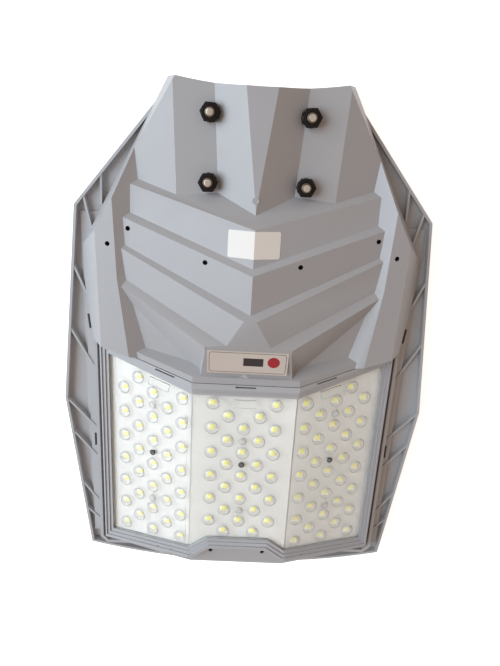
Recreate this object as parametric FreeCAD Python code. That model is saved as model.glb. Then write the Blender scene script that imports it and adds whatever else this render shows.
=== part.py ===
# All-in-one street light head: a moulded tray that carries a solar panel on its back, a faceted
# front cover over the battery, and a three-sided LED lamp under one clear lens plate.
# The head lies on its back: the lamp looks up along +Z, the neck for the arm points along +Y.
# The origin is the middle of the footprint, on the surface that the head lies on.
import FreeCAD, Part
import math
import os

from FreeCAD import Vector

# Overall shape of the tray, half width at each corner and its place along the head
neck_end_y = 235.5
neck_end_half = 75.2
neck_side_y = 215.6
neck_side_half = 85.7
shoulder_y = 131.0
shoulder_half = 154.7
waist_y = -51.0
waist_half = 171.0
foot_y = -217.5
foot_half = 151.2
foot_bow = 18.0
neck_end_hollow = 7.0

# Tray sections
rim_height = 20.0
rim_wall = 2.4
tray_floor = 3.0
gutter_top = 13.0
pad_top = 8.0
pad_frame_top = 14.5
pad_half = 151.0
pad_end_y = 125.0
pad_foot_y = -214.0
upstand_wall = 3.0
lamp_upstand_top = 30.0
shelf_half = 148.0
shelf_top = 18.5
brace_wall = 1.8
brace_top = 19.5
brace_reach = 4.0
brace_lines = (
    ((131.0, 157.0), (131.5, 136.0)),
    ((146.5, 138.0), (141.0, 113.0)),
    ((158.5, 80.0), (148.5, 56.0)),
    ((164.5, 21.5), (143.5, -17.0)),
    ((169.5, -52.5), (143.5, -81.5)),
    ((165.5, -87.0), (143.5, -113.5)),
    ((159.5, -143.0), (142.5, -167.0)),
    ((155.5, -175.0), (142.0, -189.0)),
)

# Front cover
cover_wall = 2.5
cover_side_y = 97.5
cover_side_half = 148.3
cover_side_end_y = 67.8
cover_foot_half = 141.6
neck_flank_slope = 3.2
side_flank_slope = 1.39
foot_flank_slope = 4.0
land_z = 46.0
flange_z = 73.3
flange_side = -0.195
flange_rise = -0.043
ledge_z = 67.0
ledge_half = 45.8
ledge_y = -9.0
ledge_sweep = 0.259
ledge_width = 6.0
ledge_back_slope = 1.3

# Roof of the neck
shoulder_facet_z = 72.2
shoulder_facet_side = -0.396
shoulder_facet_rise = 0.019
ridge_flank_z = 65.3
ridge_flank_side = -0.581
ridge_flank_rise = 0.04
ridge_top_z = 61.8
ridge_top_rise = -0.037

# Stepped chevrons: the crest of each step on the centre line, then its riser and its wide band
crest_1_y = 124.5
crest_1_z = 73.6
crest_2_y = 89.4
crest_2_z = 80.5
crest_3_y = 51.0
crest_3_z = 86.0
crest_4_y = 29.9
crest_4_z = 79.4
riser_1_side, riser_1_rise = -0.094, -1.007
riser_2_side, riser_2_rise = -0.056, -0.924
riser_3_side, riser_3_rise = -0.035, -0.777
riser_4_side, riser_4_rise = -0.090, -0.585
band_1_side, band_1_rise = -0.338, -0.080
band_2_side, band_2_rise = -0.354, -0.014
band_3_side, band_3_rise = -0.400, 0.047
prow_rise = 0.389
cheek_z = 87.3
cheek_side = -0.705
cheek_rise = 0.552
hollow_z = 67.0
hollow_side = -0.25
hollow_rise = 0.06
strip_upper_z = -4.9
strip_upper_side = 0.522
strip_upper_rise = -0.083
strip_lower_z = 2.87
strip_lower_side = 0.493
strip_lower_rise = -0.143

# Label block at the foot of the chevrons
block_foot_y = -1.4
block_foot_z = 69.5
block_rise = 0.265
block_half = 38.0
block_flank_slope = 3.0
block_foot_slope = 2.0
pocket_half = 35.5
pocket_top_y = 26.5
pocket_margin = 2.5
pocket_depth = 0.8
label_gap = 1.5
label_thickness = 0.3
paper_half = 20.8
paper_top_y = 123.6
paper_length = 21.5
paper_thickness = 0.25

# Lamp: three facets that meet at two folds
facet_z = 63.0
fold_half = 46.2
facet_slope = math.tan(math.radians(19.2))
lens_outer_half = 124.6
lens_outer_top_y = 2.3
lens_fold_top_y = -21.5
lens_outer_foot_y = -186.8
lens_fold_foot_y = -184.0
notch_half = 29.5
notch_y = -172.3
lens_thickness = 2.2
lens_lap = 3.0
gasket_thickness = 1.0
gasket_width = 2.2

# Bezel around the lens, and the gap to the tray's upstand
bezel_margin = 7.9
bezel_foot_margin = 16.2
bezel_half = lens_outer_half + bezel_margin
bezel_foot_y = lens_outer_foot_y - bezel_foot_margin
bezel_corner = 5.0
bezel_wall = 2.5
frame_width = 9.5
frame_rise = 4.0
step_width = 3.2
step_rise = 1.3
bezel_foot_slope = 1.2
lip_z = 62.0
lip_y = -183.0
lip_rise = 0.245
lip_edge_y = -205.4
lip_half = 55.0
part_line = 0.6
upstand_reach = 7.0
lamp_upstand_half = bezel_half + upstand_reach
lamp_upstand_corner = 7.0
upstand_gap = 1.5
lamp_upstand_foot_y = bezel_foot_y - upstand_reach

# Clip slots in the bezel, by the cover's edge and at the lip, and in the shelf of the tray
clip_half = 9.0
clip_width = 1.4
clip_setback = 2.7
clip_depth = 8.0
clip_x = 71.0
shelf_clip_half = 7.0
shelf_clip_width = 2.0
shelf_clips = ((143.8, -96.4, 0.0), (145.6, 26.0, 6.0))

# Emitters and their boards
led_column_pitch = 14.5
led_centre_pitch = 14.1
led_row_pitch = 24.5
led_first_row_y = -29.7
led_side_first_row_y = -28.25
led_fold_gap = 10.1
side_rows = (7, 6, 7, 7, 7)
side_phase = (0, 1, 0, -1, 0)
centre_rows = (6, 6, 5, 6, 6)
centre_phase = (0, 1, 2, 1, 0)
led_size = 5.0
led_height = 1.0
dome_radius = 5.6
dome_height = 2.4
dome_root = 0.5
board_thickness = 1.6
carrier_depth = 5.4
carrier_thickness = 1.5
carrier_reach = 9.0
board_fit = 0.3
board_fold_gap = 0.4
locator_radius = 3.4
locator_height = 1.4
side_pip_y = (-40.5, -139.5)
centre_pip_y = (-66.5, -139.9)
bump_length = 20.0
bump_width = 7.6
bump_height = 1.2
bump_turn = 14.0
centre_bump_y = -29.0
side_bump_y = -18.5
side_bump_distance = 32.2
plate_screw_y = -90.9
plate_screw_side_y = -89.5

# Arm clamp in the neck
bolt_centre_y = 183.0
bolt_pitch_x = 78.0
bolt_pitch_y = 52.0
bolt_size = 8.0
bolt_fit = 0.2
bolt_thread_fit = 0.05
bolt_point = 1.0
spot_fit = 0.9
bolt_pocket_depth = 6.0
bolt_head_height = 5.3
nut_flats = 14.0
nut_height = 6.5
bolt_tail = 3.0
washer_radius = 7.5
washer_thickness = 1.6
arm_radius = 24.5
arm_axis_z = 29.5
arm_fit = 1.5
strap_thickness = 2.5
strap_length = 60.0
strap_half = 50.0
boss_radius = 10.5
boss_top = 38.0
cradle_half = 27.0
cradle_top = 14.0
cradle_wall = 3.0
cradle_pitch = 44.0
arm_stop_y = 148.0

# Small screws
screw_radius = 1.25
screw_head_radius = 2.0
screw_head_height = 1.2
screw_recess = 1.2
screw_fit = 0.15
screw_length = 14.0
post_radius = 4.0
post_hole_depth = 11.0
plate_head_radius = 2.2
plate_screw_length = 9.0
cover_screw_places = ((121.1, 103.1), (104.4, 116.2), (38.4, 96.0))
cover_screw_seats = (37.0, 37.0, 54.0)
lip_screw_x = 25.2
lip_screw_y = -189.3
lip_screw_seat = 50.0
carrier_post_radius = 3.0
carrier_hole_top = 2.0
screw_tip_gap = 0.4
carrier_screw_length = carrier_depth + carrier_thickness - carrier_hole_top - screw_tip_gap
carrier_top_x = 38.0
carrier_top_y = -15.4
carrier_side_x = 70.0
carrier_side_y = -191.2
carrier_foot_y = -178.4

# Solar panel in the back
panel_half = 146.0
panel_top_y = 118.0
panel_foot_y = -211.0
panel_thickness = 4.0
panel_inset = 0.3
panel_seal = 0.5
seal_width = 8.0
panel_fit = 0.6

# Battery, controller and leads
cell_radius = 16.0
cell_length = 70.0
cell_count = 4
cell_pitch = 34.0
cell_centre_y = 46.0
cell_lift = 1.6
holder_length = 9.0
holder_wall = 1.2
tab_thickness = 0.3
tab_width = 10.0
cell_fit = 0.3
cradle_end_height = 8.0
cradle_end_wall = 1.8
bridge_reach = 5.0
bridge_width = 12.0
bridge_thickness = 2.0
bridge_screw_length = 8.0
board_screw_length = 6.0
controller_y = -70.0
controller_half = 45.0
controller_width = 56.0
controller_lift = 6.0
standoff_radius = 3.5
inductor_x = -18.0
inductor_radius = 10.0
inductor_bore = 4.0
inductor_height = 11.0
capacitor_x = 6.0
capacitor_pitch = 13.0
capacitor_radius = 5.0
capacitor_height = 16.0
terminal_half = 20.0
terminal_depth = 8.0
terminal_height = 10.0
lead_hole_x = 62.0
lead_hole_y = -24.0
terminal_box_size = 22.0
terminal_box_height = 12.0
lead_radius = 1.6
lead_share = 0.45
lead_hole_fit = 1.2
lead_level = 20.6
panel_lead_turns = ((31.0, lead_hole_y, 15.0), (12.0, -28.0, lead_level))
battery_lead_turns = ((-20.0, -8.0, 28.0), (-12.0, -27.0, lead_level))
lamp_lead_turns = ((0.0, -113.0, lead_level), (8.0, -124.0, 36.0))
lead_gate_half = 28.0
lead_gate_top = 34.0

# How many flat sides stand for a round one in small pieces and in what repeats
screw_sides = 6
post_sides = 8
dome_sides = 8
bolt_sides = 12
cell_sides = 12
dome_rings = (1.0, 0.6)

FAR = 700.0


class Face:
    """One flat facet, mirrored over the centre line: a height there and two slopes."""

    def __init__(self, y, height, side, rise):
        self.side = side
        self.rise = rise
        self.base = height - rise * y

    def height(self, x, y):
        """Height of the facet over the floor at one point."""
        return self.base + self.side * abs(x) + self.rise * y

    def raised(self, lift):
        """The same facet, moved straight up."""
        return Face(0.0, self.base + lift, self.side, self.rise)

    def half(self, direction, inset):
        """Everything under the facet on one side, moved in along its normal."""
        normal = Vector(-direction * self.side, -self.rise, 1.0).normalize()
        block = Part.makeBox(2 * FAR, 2 * FAR, FAR, Vector(-FAR, -FAR, -FAR))
        place = Vector(0, 0, self.base) - normal * inset
        block.Placement = FreeCAD.Placement(place, FreeCAD.Rotation(Vector(0, 0, 1), normal))
        return block


def roof(faces, inset=0.0):
    """Everything under all the facets and their mirror images, less a wall of the inset."""
    halves = [face.half(side, inset) for face in faces for side in ((1, -1) if face.side else (1,))]
    body = halves[0]
    for other in halves[1:]:
        body = body.common(other)
    return body


def flank(start, end, slope):
    """The sloping side that rises inward from a foot line in plan."""
    run_x, run_y = end[0] - start[0], end[1] - start[1]
    length = math.hypot(run_x, run_y)
    in_x, in_y = run_y / length, -run_x / length
    base = rim_height - slope * (start[0] * in_x + start[1] * in_y)
    return Face(0.0, base, slope * in_x, slope * in_y)


def mirrored(points):
    """A closed ring of points from its right half, which runs from the neck to the foot."""
    left = [(-x, y) for x, y in reversed(points) if x > 0]
    return points + left


def flat(points):
    """A flat face on the floor from a ring of points."""
    ring = [Vector(x, y, 0) for x, y in points]
    return Part.Face(Part.makePolygon(ring + ring[:1]))


def grown(face, distance):
    """The same outline moved outward, or inward when the distance is negative."""
    return face.makeOffset2D(distance, 2) if distance else face


def prism(face, low, high):
    """A flat outline stood up between two heights."""
    return face.extrude(Vector(0, 0, high - low)).translated(Vector(0, 0, low))


def box(x0, x1, y0, y1, z0, z1):
    """A block between two corners."""
    return Part.makeBox(x1 - x0, y1 - y0, z1 - z0, Vector(x0, y0, z0))


def corners_of(sides, radius, x=0.0, y=0.0):
    """The corners of a regular polygon."""
    turns = [2 * math.pi * step / sides for step in range(sides)]
    return [(x + radius * math.cos(a), y + radius * math.sin(a)) for a in turns]


def pillar(sides, radius, x, y, z0, z1):
    """An upright prism with flat sides, which stands for a small round post or hole."""
    return prism(flat(corners_of(sides, radius, x, y)), z0, z1)


def hexagon(flats, x, y, z0, z1):
    """An upright hexagonal prism."""
    return pillar(6, flats / math.sqrt(3), x, y, z0, z1)


def lying(sides, radius, x, z, y0, y1):
    """A prism with flat sides that lies along the head."""
    body = pillar(sides, radius, 0, 0, 0.0, y1 - y0)
    body.rotate(Vector(0, 0, 0), Vector(1, 0, 0), -90)
    return body.translated(Vector(x, y0, z))


def stack(sides, rings):
    """A solid turned with flat sides, from the radius and the height of each ring."""
    loops = [[Vector(x, y, z) for x, y in corners_of(sides, radius)] for radius, z in rings]
    outlines = [loops[0], loops[-1]]
    for low, high in zip(loops, loops[1:]):
        outlines += [[low[i - 1], low[i], high[i], high[i - 1]] for i in range(sides)]
    faces = [Part.Face(Part.makePolygon(outline + outline[:1])) for outline in outlines]
    body = Part.makeSolid(Part.makeShell(faces))
    if body.Volume < 0:
        body.reverse()
    return body


def both(points):
    """Each place and its mirror image."""
    return [(side * x, y) for x, y in points for side in (-1, 1)]


def fused(parts):
    """All the bodies as one."""
    return parts[0].multiFuse(parts[1:]).removeSplitter()


def without(body, tools):
    """The body less every tool."""
    return body.cut(Part.makeCompound(tools))


def save(name, shape):
    """Write one piece, or one group of like pieces, as a STEP file."""
    shape.exportStep(f"parts/{name}.step")


# Outlines in plan


def tray_face():
    """The tray from above, with its bowed foot and the hollow end of its neck."""
    corners = [
        (neck_end_half, neck_end_y),
        (neck_side_half, neck_side_y),
        (shoulder_half, shoulder_y),
        (waist_half, waist_y),
        (foot_half, foot_y),
    ]
    ring = [Vector(x, y, 0) for x, y in corners]
    mirror = [Vector(-x, y, 0) for x, y in reversed(corners)]
    foot = Part.Arc(ring[-1], Vector(0, foot_y - foot_bow, 0), mirror[0]).toShape()
    neck = Part.Arc(mirror[-1], Vector(0, neck_end_y - neck_end_hollow, 0), ring[0]).toShape()
    sides = [Part.makeLine(a, b) for line in (ring, mirror) for a, b in zip(line, line[1:])]
    return Part.Face(Part.Wire(Part.sortEdges(sides + [foot, neck])[0]))


def ledge_line(half, gap=0.0):
    """Where the lower edge of the cover runs, at one half width."""
    return ledge_y - gap + ledge_sweep * max(half - ledge_half, 0.0)


def neck_ring():
    """The right half of the cover's foot line, from the neck to the lamp."""
    return [
        (neck_end_half, neck_end_y),
        (neck_side_half, neck_side_y),
        (cover_side_half, cover_side_y),
        (cover_side_half, cover_side_end_y),
        (cover_foot_half, ledge_line(cover_foot_half)),
    ]


def cover_face():
    """The cover from above."""
    return flat(mirrored(neck_ring() + [(ledge_half, ledge_y)])).common(tray_face()).Faces[0]


def housing_face():
    """The closed chamber from above: the cover's foot line and the lamp's upstand."""
    lamp = [
        (lamp_upstand_half, ledge_line(cover_foot_half) - upstand_gap),
        (lamp_upstand_half, lamp_upstand_foot_y + lamp_upstand_corner),
        (lamp_upstand_half - lamp_upstand_corner, lamp_upstand_foot_y),
    ]
    return flat(mirrored(neck_ring() + lamp)).common(tray_face()).Faces[0]


def lens_face(offset=0.0):
    """The lens as it shows from above, or the same outline moved outward."""
    corners = [
        (fold_half, lens_fold_top_y),
        (lens_outer_half, lens_outer_top_y),
        (lens_outer_half, lens_outer_foot_y),
        (fold_half, lens_fold_foot_y),
        (notch_half, notch_y),
    ]
    return grown(flat(mirrored(corners)), offset)


def bezel_face(inset=0.0):
    """The bezel from above, with the lip at its foot."""
    corners = [
        (ledge_half, ledge_line(0.0, part_line)),
        (bezel_half, ledge_line(bezel_half, part_line)),
        (bezel_half, bezel_foot_y + bezel_corner),
        (bezel_half - bezel_corner, bezel_foot_y),
        (lip_half, bezel_foot_y),
        (lip_half - bezel_corner, lip_edge_y),
    ]
    return grown(flat(mirrored(corners)), -inset)


# Roofs


def lamp_facets():
    """The three facets of the lamp; the side one stands for its mirror image too."""
    side = Face(0.0, facet_z + facet_slope * fold_half, -facet_slope, 0.0)
    return [Face(0.0, facet_z, 0.0, 0.0), side]


def facet_point(column, distance, y):
    """Where a point on a side facet lies, from its distance past the fold."""
    angle = math.atan(facet_slope)
    return column * (fold_half + distance * math.cos(angle)), y, facet_z - distance * math.sin(angle)


def cover_flanks():
    """The three sloping sides of the cover."""
    ring = neck_ring()
    return [
        flank(ring[1], ring[2], neck_flank_slope),
        flank(ring[2], ring[3], side_flank_slope),
        flank(ring[3], ring[4], foot_flank_slope),
    ]


def steps():
    """The stepped chevrons, each a riser and a wide band from one crest, and the last riser."""
    return [
        [
            Face(crest_1_y, crest_1_z, riser_1_side, riser_1_rise),
            Face(crest_1_y, crest_1_z, band_1_side, band_1_rise),
        ],
        [
            Face(crest_2_y, crest_2_z, riser_2_side, riser_2_rise),
            Face(crest_2_y, crest_2_z, band_2_side, band_2_rise),
        ],
        [
            Face(crest_3_y, crest_3_z, riser_3_side, riser_3_rise),
            Face(crest_3_y, crest_3_z, band_3_side, band_3_rise),
        ],
        [Face(crest_4_y, crest_4_z, riser_4_side, riser_4_rise)],
    ]


def block_top():
    """The sloping front of the label block."""
    return Face(block_foot_y, block_foot_z, 0.0, block_rise)


def flange_body(inset):
    """The band along each side, with the strip that falls inward from it."""
    flange = Face(0.0, flange_z, flange_side, flange_rise)
    upper = Face(0.0, strip_upper_z, strip_upper_side, strip_upper_rise)
    lower = Face(0.0, strip_lower_z, strip_lower_side, strip_lower_rise)
    sides = []
    for side in (-1, 1):
        strip = upper.half(side, inset).fuse(lower.half(side, inset))
        near = box(*sorted((0.0, side * FAR)), -FAR, FAR, -FAR, FAR)
        sides.append(strip.common(flange.half(side, inset)).common(near))
    return sides


def cover_form(inset=0.0):
    """The solid under the cover's skin, or the space inside its wall."""
    prow = Face(crest_3_y, crest_3_z, 0.0, prow_rise)
    cheek = Face(0.0, cheek_z, cheek_side, cheek_rise)
    front = block_top()
    last_riser = steps()[-1][0]
    bodies = [roof(step + [prow, cheek, front], inset) for step in steps()]
    bodies.append(roof([Face(0.0, hollow_z, hollow_side, hollow_rise), last_riser], inset))
    block_side = Face(0.0, block_foot_z + block_flank_slope * block_half, -block_flank_slope, 0.0)
    block_foot = Face(block_foot_y, block_foot_z, 0.0, block_foot_slope)
    bodies.append(roof([front, prow, last_riser, block_side, block_foot], inset))
    land = Face(0.0, land_z, 0.0, 0.0)
    shoulder = Face(bolt_centre_y, shoulder_facet_z, shoulder_facet_side, shoulder_facet_rise)
    bodies.append(roof([land, shoulder], inset))
    ridge = Face(bolt_centre_y, ridge_flank_z, ridge_flank_side, ridge_flank_rise)
    ridge_top = Face(bolt_centre_y, ridge_top_z, 0.0, ridge_top_rise)
    bodies.append(roof([ridge, ridge_top], inset))
    ledge = [face.raised(ledge_z - facet_z) for face in lamp_facets()]
    back_side = ledge_back_slope * ledge_sweep - facet_slope
    back = Face(ledge_y + ledge_width, ledge_z, back_side, -ledge_back_slope)
    bodies.append(roof(ledge + [back], inset))
    bodies += flange_body(inset)
    low = rim_height if inset == 0.0 else 0.0
    plan = prism(grown(cover_face(), -inset), low, FAR / 2)
    sides = roof(cover_flanks(), inset).common(plan)
    return fused([body.common(sides) for body in bodies])


# Tray and panel


def chamber_face():
    """The chamber from above at its foot, with the shelf on each side of the lamp."""
    foot = lamp_upstand_foot_y + lamp_upstand_corner
    shelf = [(shelf_half, cover_side_y), (shelf_half, foot)]
    return flat(mirrored(shelf)).fuse(housing_face()).removeSplitter().Faces[0]


def chamber_wall():
    """The upstand that the cover and the lamp stand on, stepped in at the shelf."""
    foot_plan, plan = chamber_face(), housing_face()
    skin = shelf_top - upstand_wall
    low = prism(foot_plan, 0.0, shelf_top).cut(prism(grown(foot_plan, -upstand_wall), 0.0, skin))
    ring = prism(plan, skin, lamp_upstand_top)
    inside = prism(grown(plan, -upstand_wall), skin, FAR)
    lamp_end = ledge_line(cover_foot_half) - upstand_gap
    over_cover = box(-FAR, FAR, lamp_end, FAR, rim_height, FAR)
    return low.fuse(ring).cut(inside).cut(over_cover)


def gutter():
    """The sheet between the rim and the chamber, with the raised frame of the panel in it."""
    plan = prism(tray_face(), 0.0, rim_height)
    sheet = prism(tray_face(), gutter_top - tray_floor, gutter_top)
    frame = box(-pad_half, pad_half, pad_foot_y, pad_end_y, 0.0, pad_frame_top).common(plan)
    return sheet.fuse(frame).cut(prism(chamber_face(), 0.0, FAR))


def braces():
    """The thin braces that run slantwise from the rim to the chamber."""
    low = gutter_top - tray_floor
    band = prism(tray_face(), low, brace_top).cut(prism(housing_face(), 0.0, FAR))
    walls = []
    for (out_x, out_y), (in_x, in_y) in brace_lines:
        turn = math.degrees(math.atan2(in_y - out_y, in_x - out_x))
        reach = math.hypot(in_x - out_x, in_y - out_y) / 2 + brace_reach
        for side in (1, -1):
            wall = box(-reach, reach, -brace_wall / 2, brace_wall / 2, low, brace_top)
            heading = turn if side > 0 else 180.0 - turn
            middle = Vector(side * (out_x + in_x) / 2, (out_y + in_y) / 2, 0)
            wall.Placement = FreeCAD.Placement(middle, FreeCAD.Rotation(Vector(0, 0, 1), heading))
            walls.append(wall.common(band))
    return walls


def bolt_places():
    """Centres of the four clamp bolts."""
    half_x, half_y = bolt_pitch_x / 2, bolt_pitch_y / 2
    return both([(half_x, bolt_centre_y + half_y), (half_x, bolt_centre_y - half_y)])


def arm_space(radius):
    """The round way in for the arm, from its stop out past the end of the neck."""
    length = FAR - arm_stop_y
    return Part.makeCylinder(radius, length, Vector(0, arm_stop_y, arm_axis_z), Vector(0, 1, 0))


def cradles():
    """Two ribs in the neck that the arm lies in, and the wall that stops it."""
    ribs = []
    for side in (-1, 1):
        y = bolt_centre_y + side * cradle_pitch / 2
        ribs.append(box(-cradle_half, cradle_half, y - cradle_wall / 2, y + cradle_wall / 2, 0, cradle_top))
    stop = box(-cradle_half, cradle_half, arm_stop_y - cradle_wall, arm_stop_y, 0, arm_axis_z)
    return [rib.cut(arm_space(arm_radius)) for rib in ribs] + [stop]


def panel_space(low, high, margin=0.0):
    """The rectangle of the panel, stood up between two heights."""
    left = panel_half + margin
    return box(-left, left, panel_foot_y - margin, panel_top_y + margin, low, high)


def screw_hole(x, y, z0, z1):
    """An upright hole for the shank of a small screw."""
    return pillar(screw_sides, screw_radius + screw_fit, x, y, z0, z1)


def head_hole(x, y, z0):
    """The round recess over the head of a small screw, open upward."""
    return pillar(post_sides, screw_head_radius + screw_fit, x, y, z0, FAR)


def neck_mouth():
    """The round hole in the end of the neck, where the arm goes in."""
    start = neck_end_y - 3 * upstand_wall - neck_end_hollow
    return arm_space(arm_radius + arm_fit).common(box(-FAR, FAR, start, FAR, 0.0, FAR))


def screw_posts():
    """Places of the cover and lip screws, each with the height where its post ends."""
    places = []
    for place, seat in zip(cover_screw_places, cover_screw_seats):
        places += [(x, y, seat) for x, y in both([place])]
    return places + [(x, y, lip_screw_seat) for x, y in both([(lip_screw_x, lip_screw_y)])]


def shelf_slots():
    """The clip slots in the shelf on each side of the lamp."""
    slots = []
    for x, y, turn in shelf_clips:
        for side in (1, -1):
            half, reach = shelf_clip_width / 2, shelf_clip_half
            slot = box(-half, half, -reach, reach, shelf_top - 2 * upstand_wall, FAR)
            slot.rotate(Vector(0, 0, 0), Vector(0, 0, 1), -side * turn)
            slots.append(slot.translated(Vector(side * x, y, 0)))
    return slots


def rear_tray():
    """The moulded back: rim, gutter, pad over the panel, chamber wall, braces, posts and bosses."""
    plan, chamber = tray_face(), prism(chamber_face(), 0.0, pad_top)
    rim = prism(plan, 0.0, rim_height).cut(prism(grown(plan, -rim_wall), 0.0, FAR))
    floor = chamber.common(box(-FAR, FAR, -FAR, FAR, 0.0, tray_floor))
    pad = box(-pad_half, pad_half, pad_foot_y, pad_end_y, 0.0, pad_top).common(chamber)
    walls = [rim, floor, pad, gutter(), chamber_wall()] + [cell_stop(side) for side in (-1, 1)]
    posts = [pillar(post_sides, post_radius, x, y, 0.0, seat) for x, y, seat in screw_posts()]
    posts += [pillar(post_sides, post_radius, x, y, 0.0, bridge_seat()) for x, y in bridge_places()]
    posts += [pillar(bolt_sides, boss_radius, x, y, 0.0, boss_top) for x, y in bolt_places()]
    standoff_top = pad_top + controller_lift
    posts += [pillar(post_sides, standoff_radius, x, y, 0.0, standoff_top) for x, y in standoff_places()]
    body = fused(walls + braces() + cradles() + posts)
    tools = [panel_space(-1.0, panel_inset + panel_thickness + panel_seal, panel_fit)]
    tools += [pillar(bolt_sides, bolt_size / 2 + bolt_fit, x, y, -1.0, FAR) for x, y in bolt_places()]
    tools += [hexagon(nut_flats + 2 * bolt_fit, x, y, -1.0, bolt_pocket_depth) for x, y in bolt_places()]
    holes = screw_posts() + [(x, y, bridge_seat()) for x, y in bridge_places()]
    tools += [screw_hole(x, y, seat - post_hole_depth, FAR) for x, y, seat in holes]
    tools += [screw_hole(x, y, pad_top, FAR) for x, y in standoff_places()]
    tools.append(pillar(post_sides, lead_radius + screw_fit, lead_hole_x, lead_hole_y, -1.0, FAR))
    return without(body, tools + [neck_mouth()] + shelf_slots())


def solar_panel():
    """The glass laminate, flush in the back."""
    return panel_space(panel_inset, panel_inset + panel_thickness)


def panel_seal_ring():
    """The strip of adhesive that the panel is bedded on."""
    low = panel_inset + panel_thickness
    return panel_space(low, low + panel_seal).cut(panel_space(-FAR, FAR, -seal_width))


# Cover, bezel and lens


def cover_surface(x, y):
    """Height of the cover over one of its screws, read off the finished form."""
    line = Part.makeLine(Vector(x, y, rim_height), Vector(x, y, FAR / 2))
    return cover_solid.common(line).BoundBox.ZMax


def cover_bosses():
    """Posts under the cover that meet the posts of the tray."""
    posts = []
    for place, seat in zip(cover_screw_places, cover_screw_seats):
        for x, y in both([place]):
            posts.append(pillar(post_sides, post_radius, x, y, seat, FAR / 2).common(cover_solid))
    return posts


def label_pocket(low, high, inset):
    """The rounded rectangle on the front of the block, between two depths under its face."""
    front = block_top()
    half = pocket_half - inset
    foot = block_foot_y + pocket_margin + inset
    top = pocket_top_y - inset
    plan = box(-half, half, foot, top, 0.0, FAR / 2)
    return plan.common(front.half(1, low)).cut(front.half(1, high))


def bolt_collars():
    """Thicker skin around the bolts, where the nuts are let into the foot of the ridge."""
    radius = washer_radius + spot_fit + cover_wall
    low, high = land_z - cover_wall, land_z + cover_wall
    return [pillar(bolt_sides, radius, x, y, low, high).common(cover_solid) for x, y in bolt_places()]


def front_cover():
    """The faceted shell over the battery and the neck."""
    shell = cover_solid.cut(cover_form(cover_wall))
    body = fused([shell] + cover_bosses() + bolt_collars())
    tools = [label_pocket(-cover_wall, pocket_depth, 0.0), lead_gate(), neck_mouth()]
    for x, y in bolt_places():
        tools.append(pillar(bolt_sides, washer_radius + spot_fit, x, y, land_z, FAR))
        tools.append(pillar(bolt_sides, bolt_size / 2 + bolt_fit, x, y, 0.0, FAR))
    for x, y in both(cover_screw_places):
        tools.append(head_hole(x, y, cover_surface(x, y) - screw_recess - screw_head_height))
        tools.append(screw_hole(x, y, 0.0, FAR))
    return without(body, tools)


def lead_gate():
    """The way for the leads under the front wall of the cover and the top wall of the bezel."""
    near, far = ledge_y - 3 * bezel_wall, ledge_y + 2 * cover_wall
    return box(-lead_gate_half, lead_gate_half, near, far, 0.0, lead_gate_top)


def bezel_slots():
    """The clip slots along the cover's edge and at the top of the lip."""
    slot = box(-clip_half, clip_half, -clip_width / 2, clip_width / 2, -clip_depth, clip_depth)
    slots = [slot.translated(Vector(0, ledge_y - clip_setback, facet_z))]
    slots.append(slot.translated(Vector(0, notch_y - frame_width - clip_width / 2, lip_z)))
    level = facet_z - facet_slope * (clip_x - fold_half)
    for side in (-1, 1):
        turned = slot.copy()
        turned.rotate(Vector(0, 0, 0), Vector(0, 0, 1), side * math.degrees(math.atan(ledge_sweep)))
        slots.append(turned.translated(Vector(side * clip_x, ledge_line(clip_x, clip_setback), level)))
    return slots


def lip_surface(y):
    """Height of the lip at one place along the head."""
    return lip_z + lip_rise * (y - lip_y)


def bezel_skirt():
    """The facets that fall from the frame to the foot of the bezel."""
    lip = Face(lip_y, lip_z, 0.0, lip_rise)
    frame_foot = lens_outer_foot_y - frame_width
    top = facet_z + frame_rise + facet_slope * fold_half
    return [lip, Face(frame_foot, top, -facet_slope, bezel_foot_slope)]


def lamp_bezel():
    """The stepped frame that holds the lens, with the lip at its foot."""
    outer = prism(bezel_face(), pad_top, FAR / 2).common(roof(lamp_facets(), -frame_rise))
    skirt = roof(bezel_skirt())
    frame = prism(lens_face(frame_width), 0.0, FAR / 2)
    body = outer.common(skirt.fuse(frame))
    space = prism(bezel_face(bezel_wall), 0.0, FAR / 2).common(roof(lamp_facets()))
    inner = space.common(roof(bezel_skirt(), bezel_wall).fuse(frame))
    places = both([(lip_screw_x, lip_screw_y)])
    posts = [pillar(post_sides, post_radius, x, y, lip_screw_seat, FAR / 2) for x, y in places]
    posts += on_carrier_screws(pillar(post_sides, carrier_post_radius, 0, 0, -carrier_depth, step_rise))
    solid = fused([body.cut(inner)] + [post.common(body) for post in posts])
    tools = [
        prism(lens_face(2 * step_width), 0.0, FAR / 2).cut(roof(lamp_facets(), -2 * step_rise)),
        prism(lens_face(step_width), 0.0, FAR / 2).cut(roof(lamp_facets(), -step_rise)),
        prism(lens_face(), 0.0, FAR / 2),
        lead_gate(),
    ]
    for x, y in places:
        tools.append(head_hole(x, y, lip_surface(y) - screw_recess - screw_head_height))
        tools.append(screw_hole(x, y, 0.0, FAR))
    tools += on_carrier_screws(screw_hole(0, 0, -2 * carrier_depth, -carrier_hole_top))
    return without(solid, tools + bezel_slots())


def folded(face, low, high):
    """A sheet that follows the three facets, between two levels measured square to them."""
    plan = prism(face, 0.0, FAR / 2)
    return plan.common(roof(lamp_facets(), -high)).cut(roof(lamp_facets(), -low))


def emitter_places():
    """Every emitter, facet by facet: the side it is on, its place and the height of the lens."""
    places = {"left": [], "centre": [], "right": []}
    for column, count in enumerate(side_rows):
        distance = led_fold_gap + column * led_column_pitch
        for row in range(count):
            y = led_side_first_row_y - led_row_pitch * (row + side_phase[column] / 2)
            places["left"].append(facet_point(-1, distance, y))
            places["right"].append(facet_point(1, distance, y))
    for column, count in enumerate(centre_rows):
        x = (column - 2) * led_centre_pitch
        for row in range(count):
            y = led_first_row_y - led_row_pitch * (row + centre_phase[column] / 2)
            places["centre"].append((x, y, facet_z))
    return places


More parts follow.
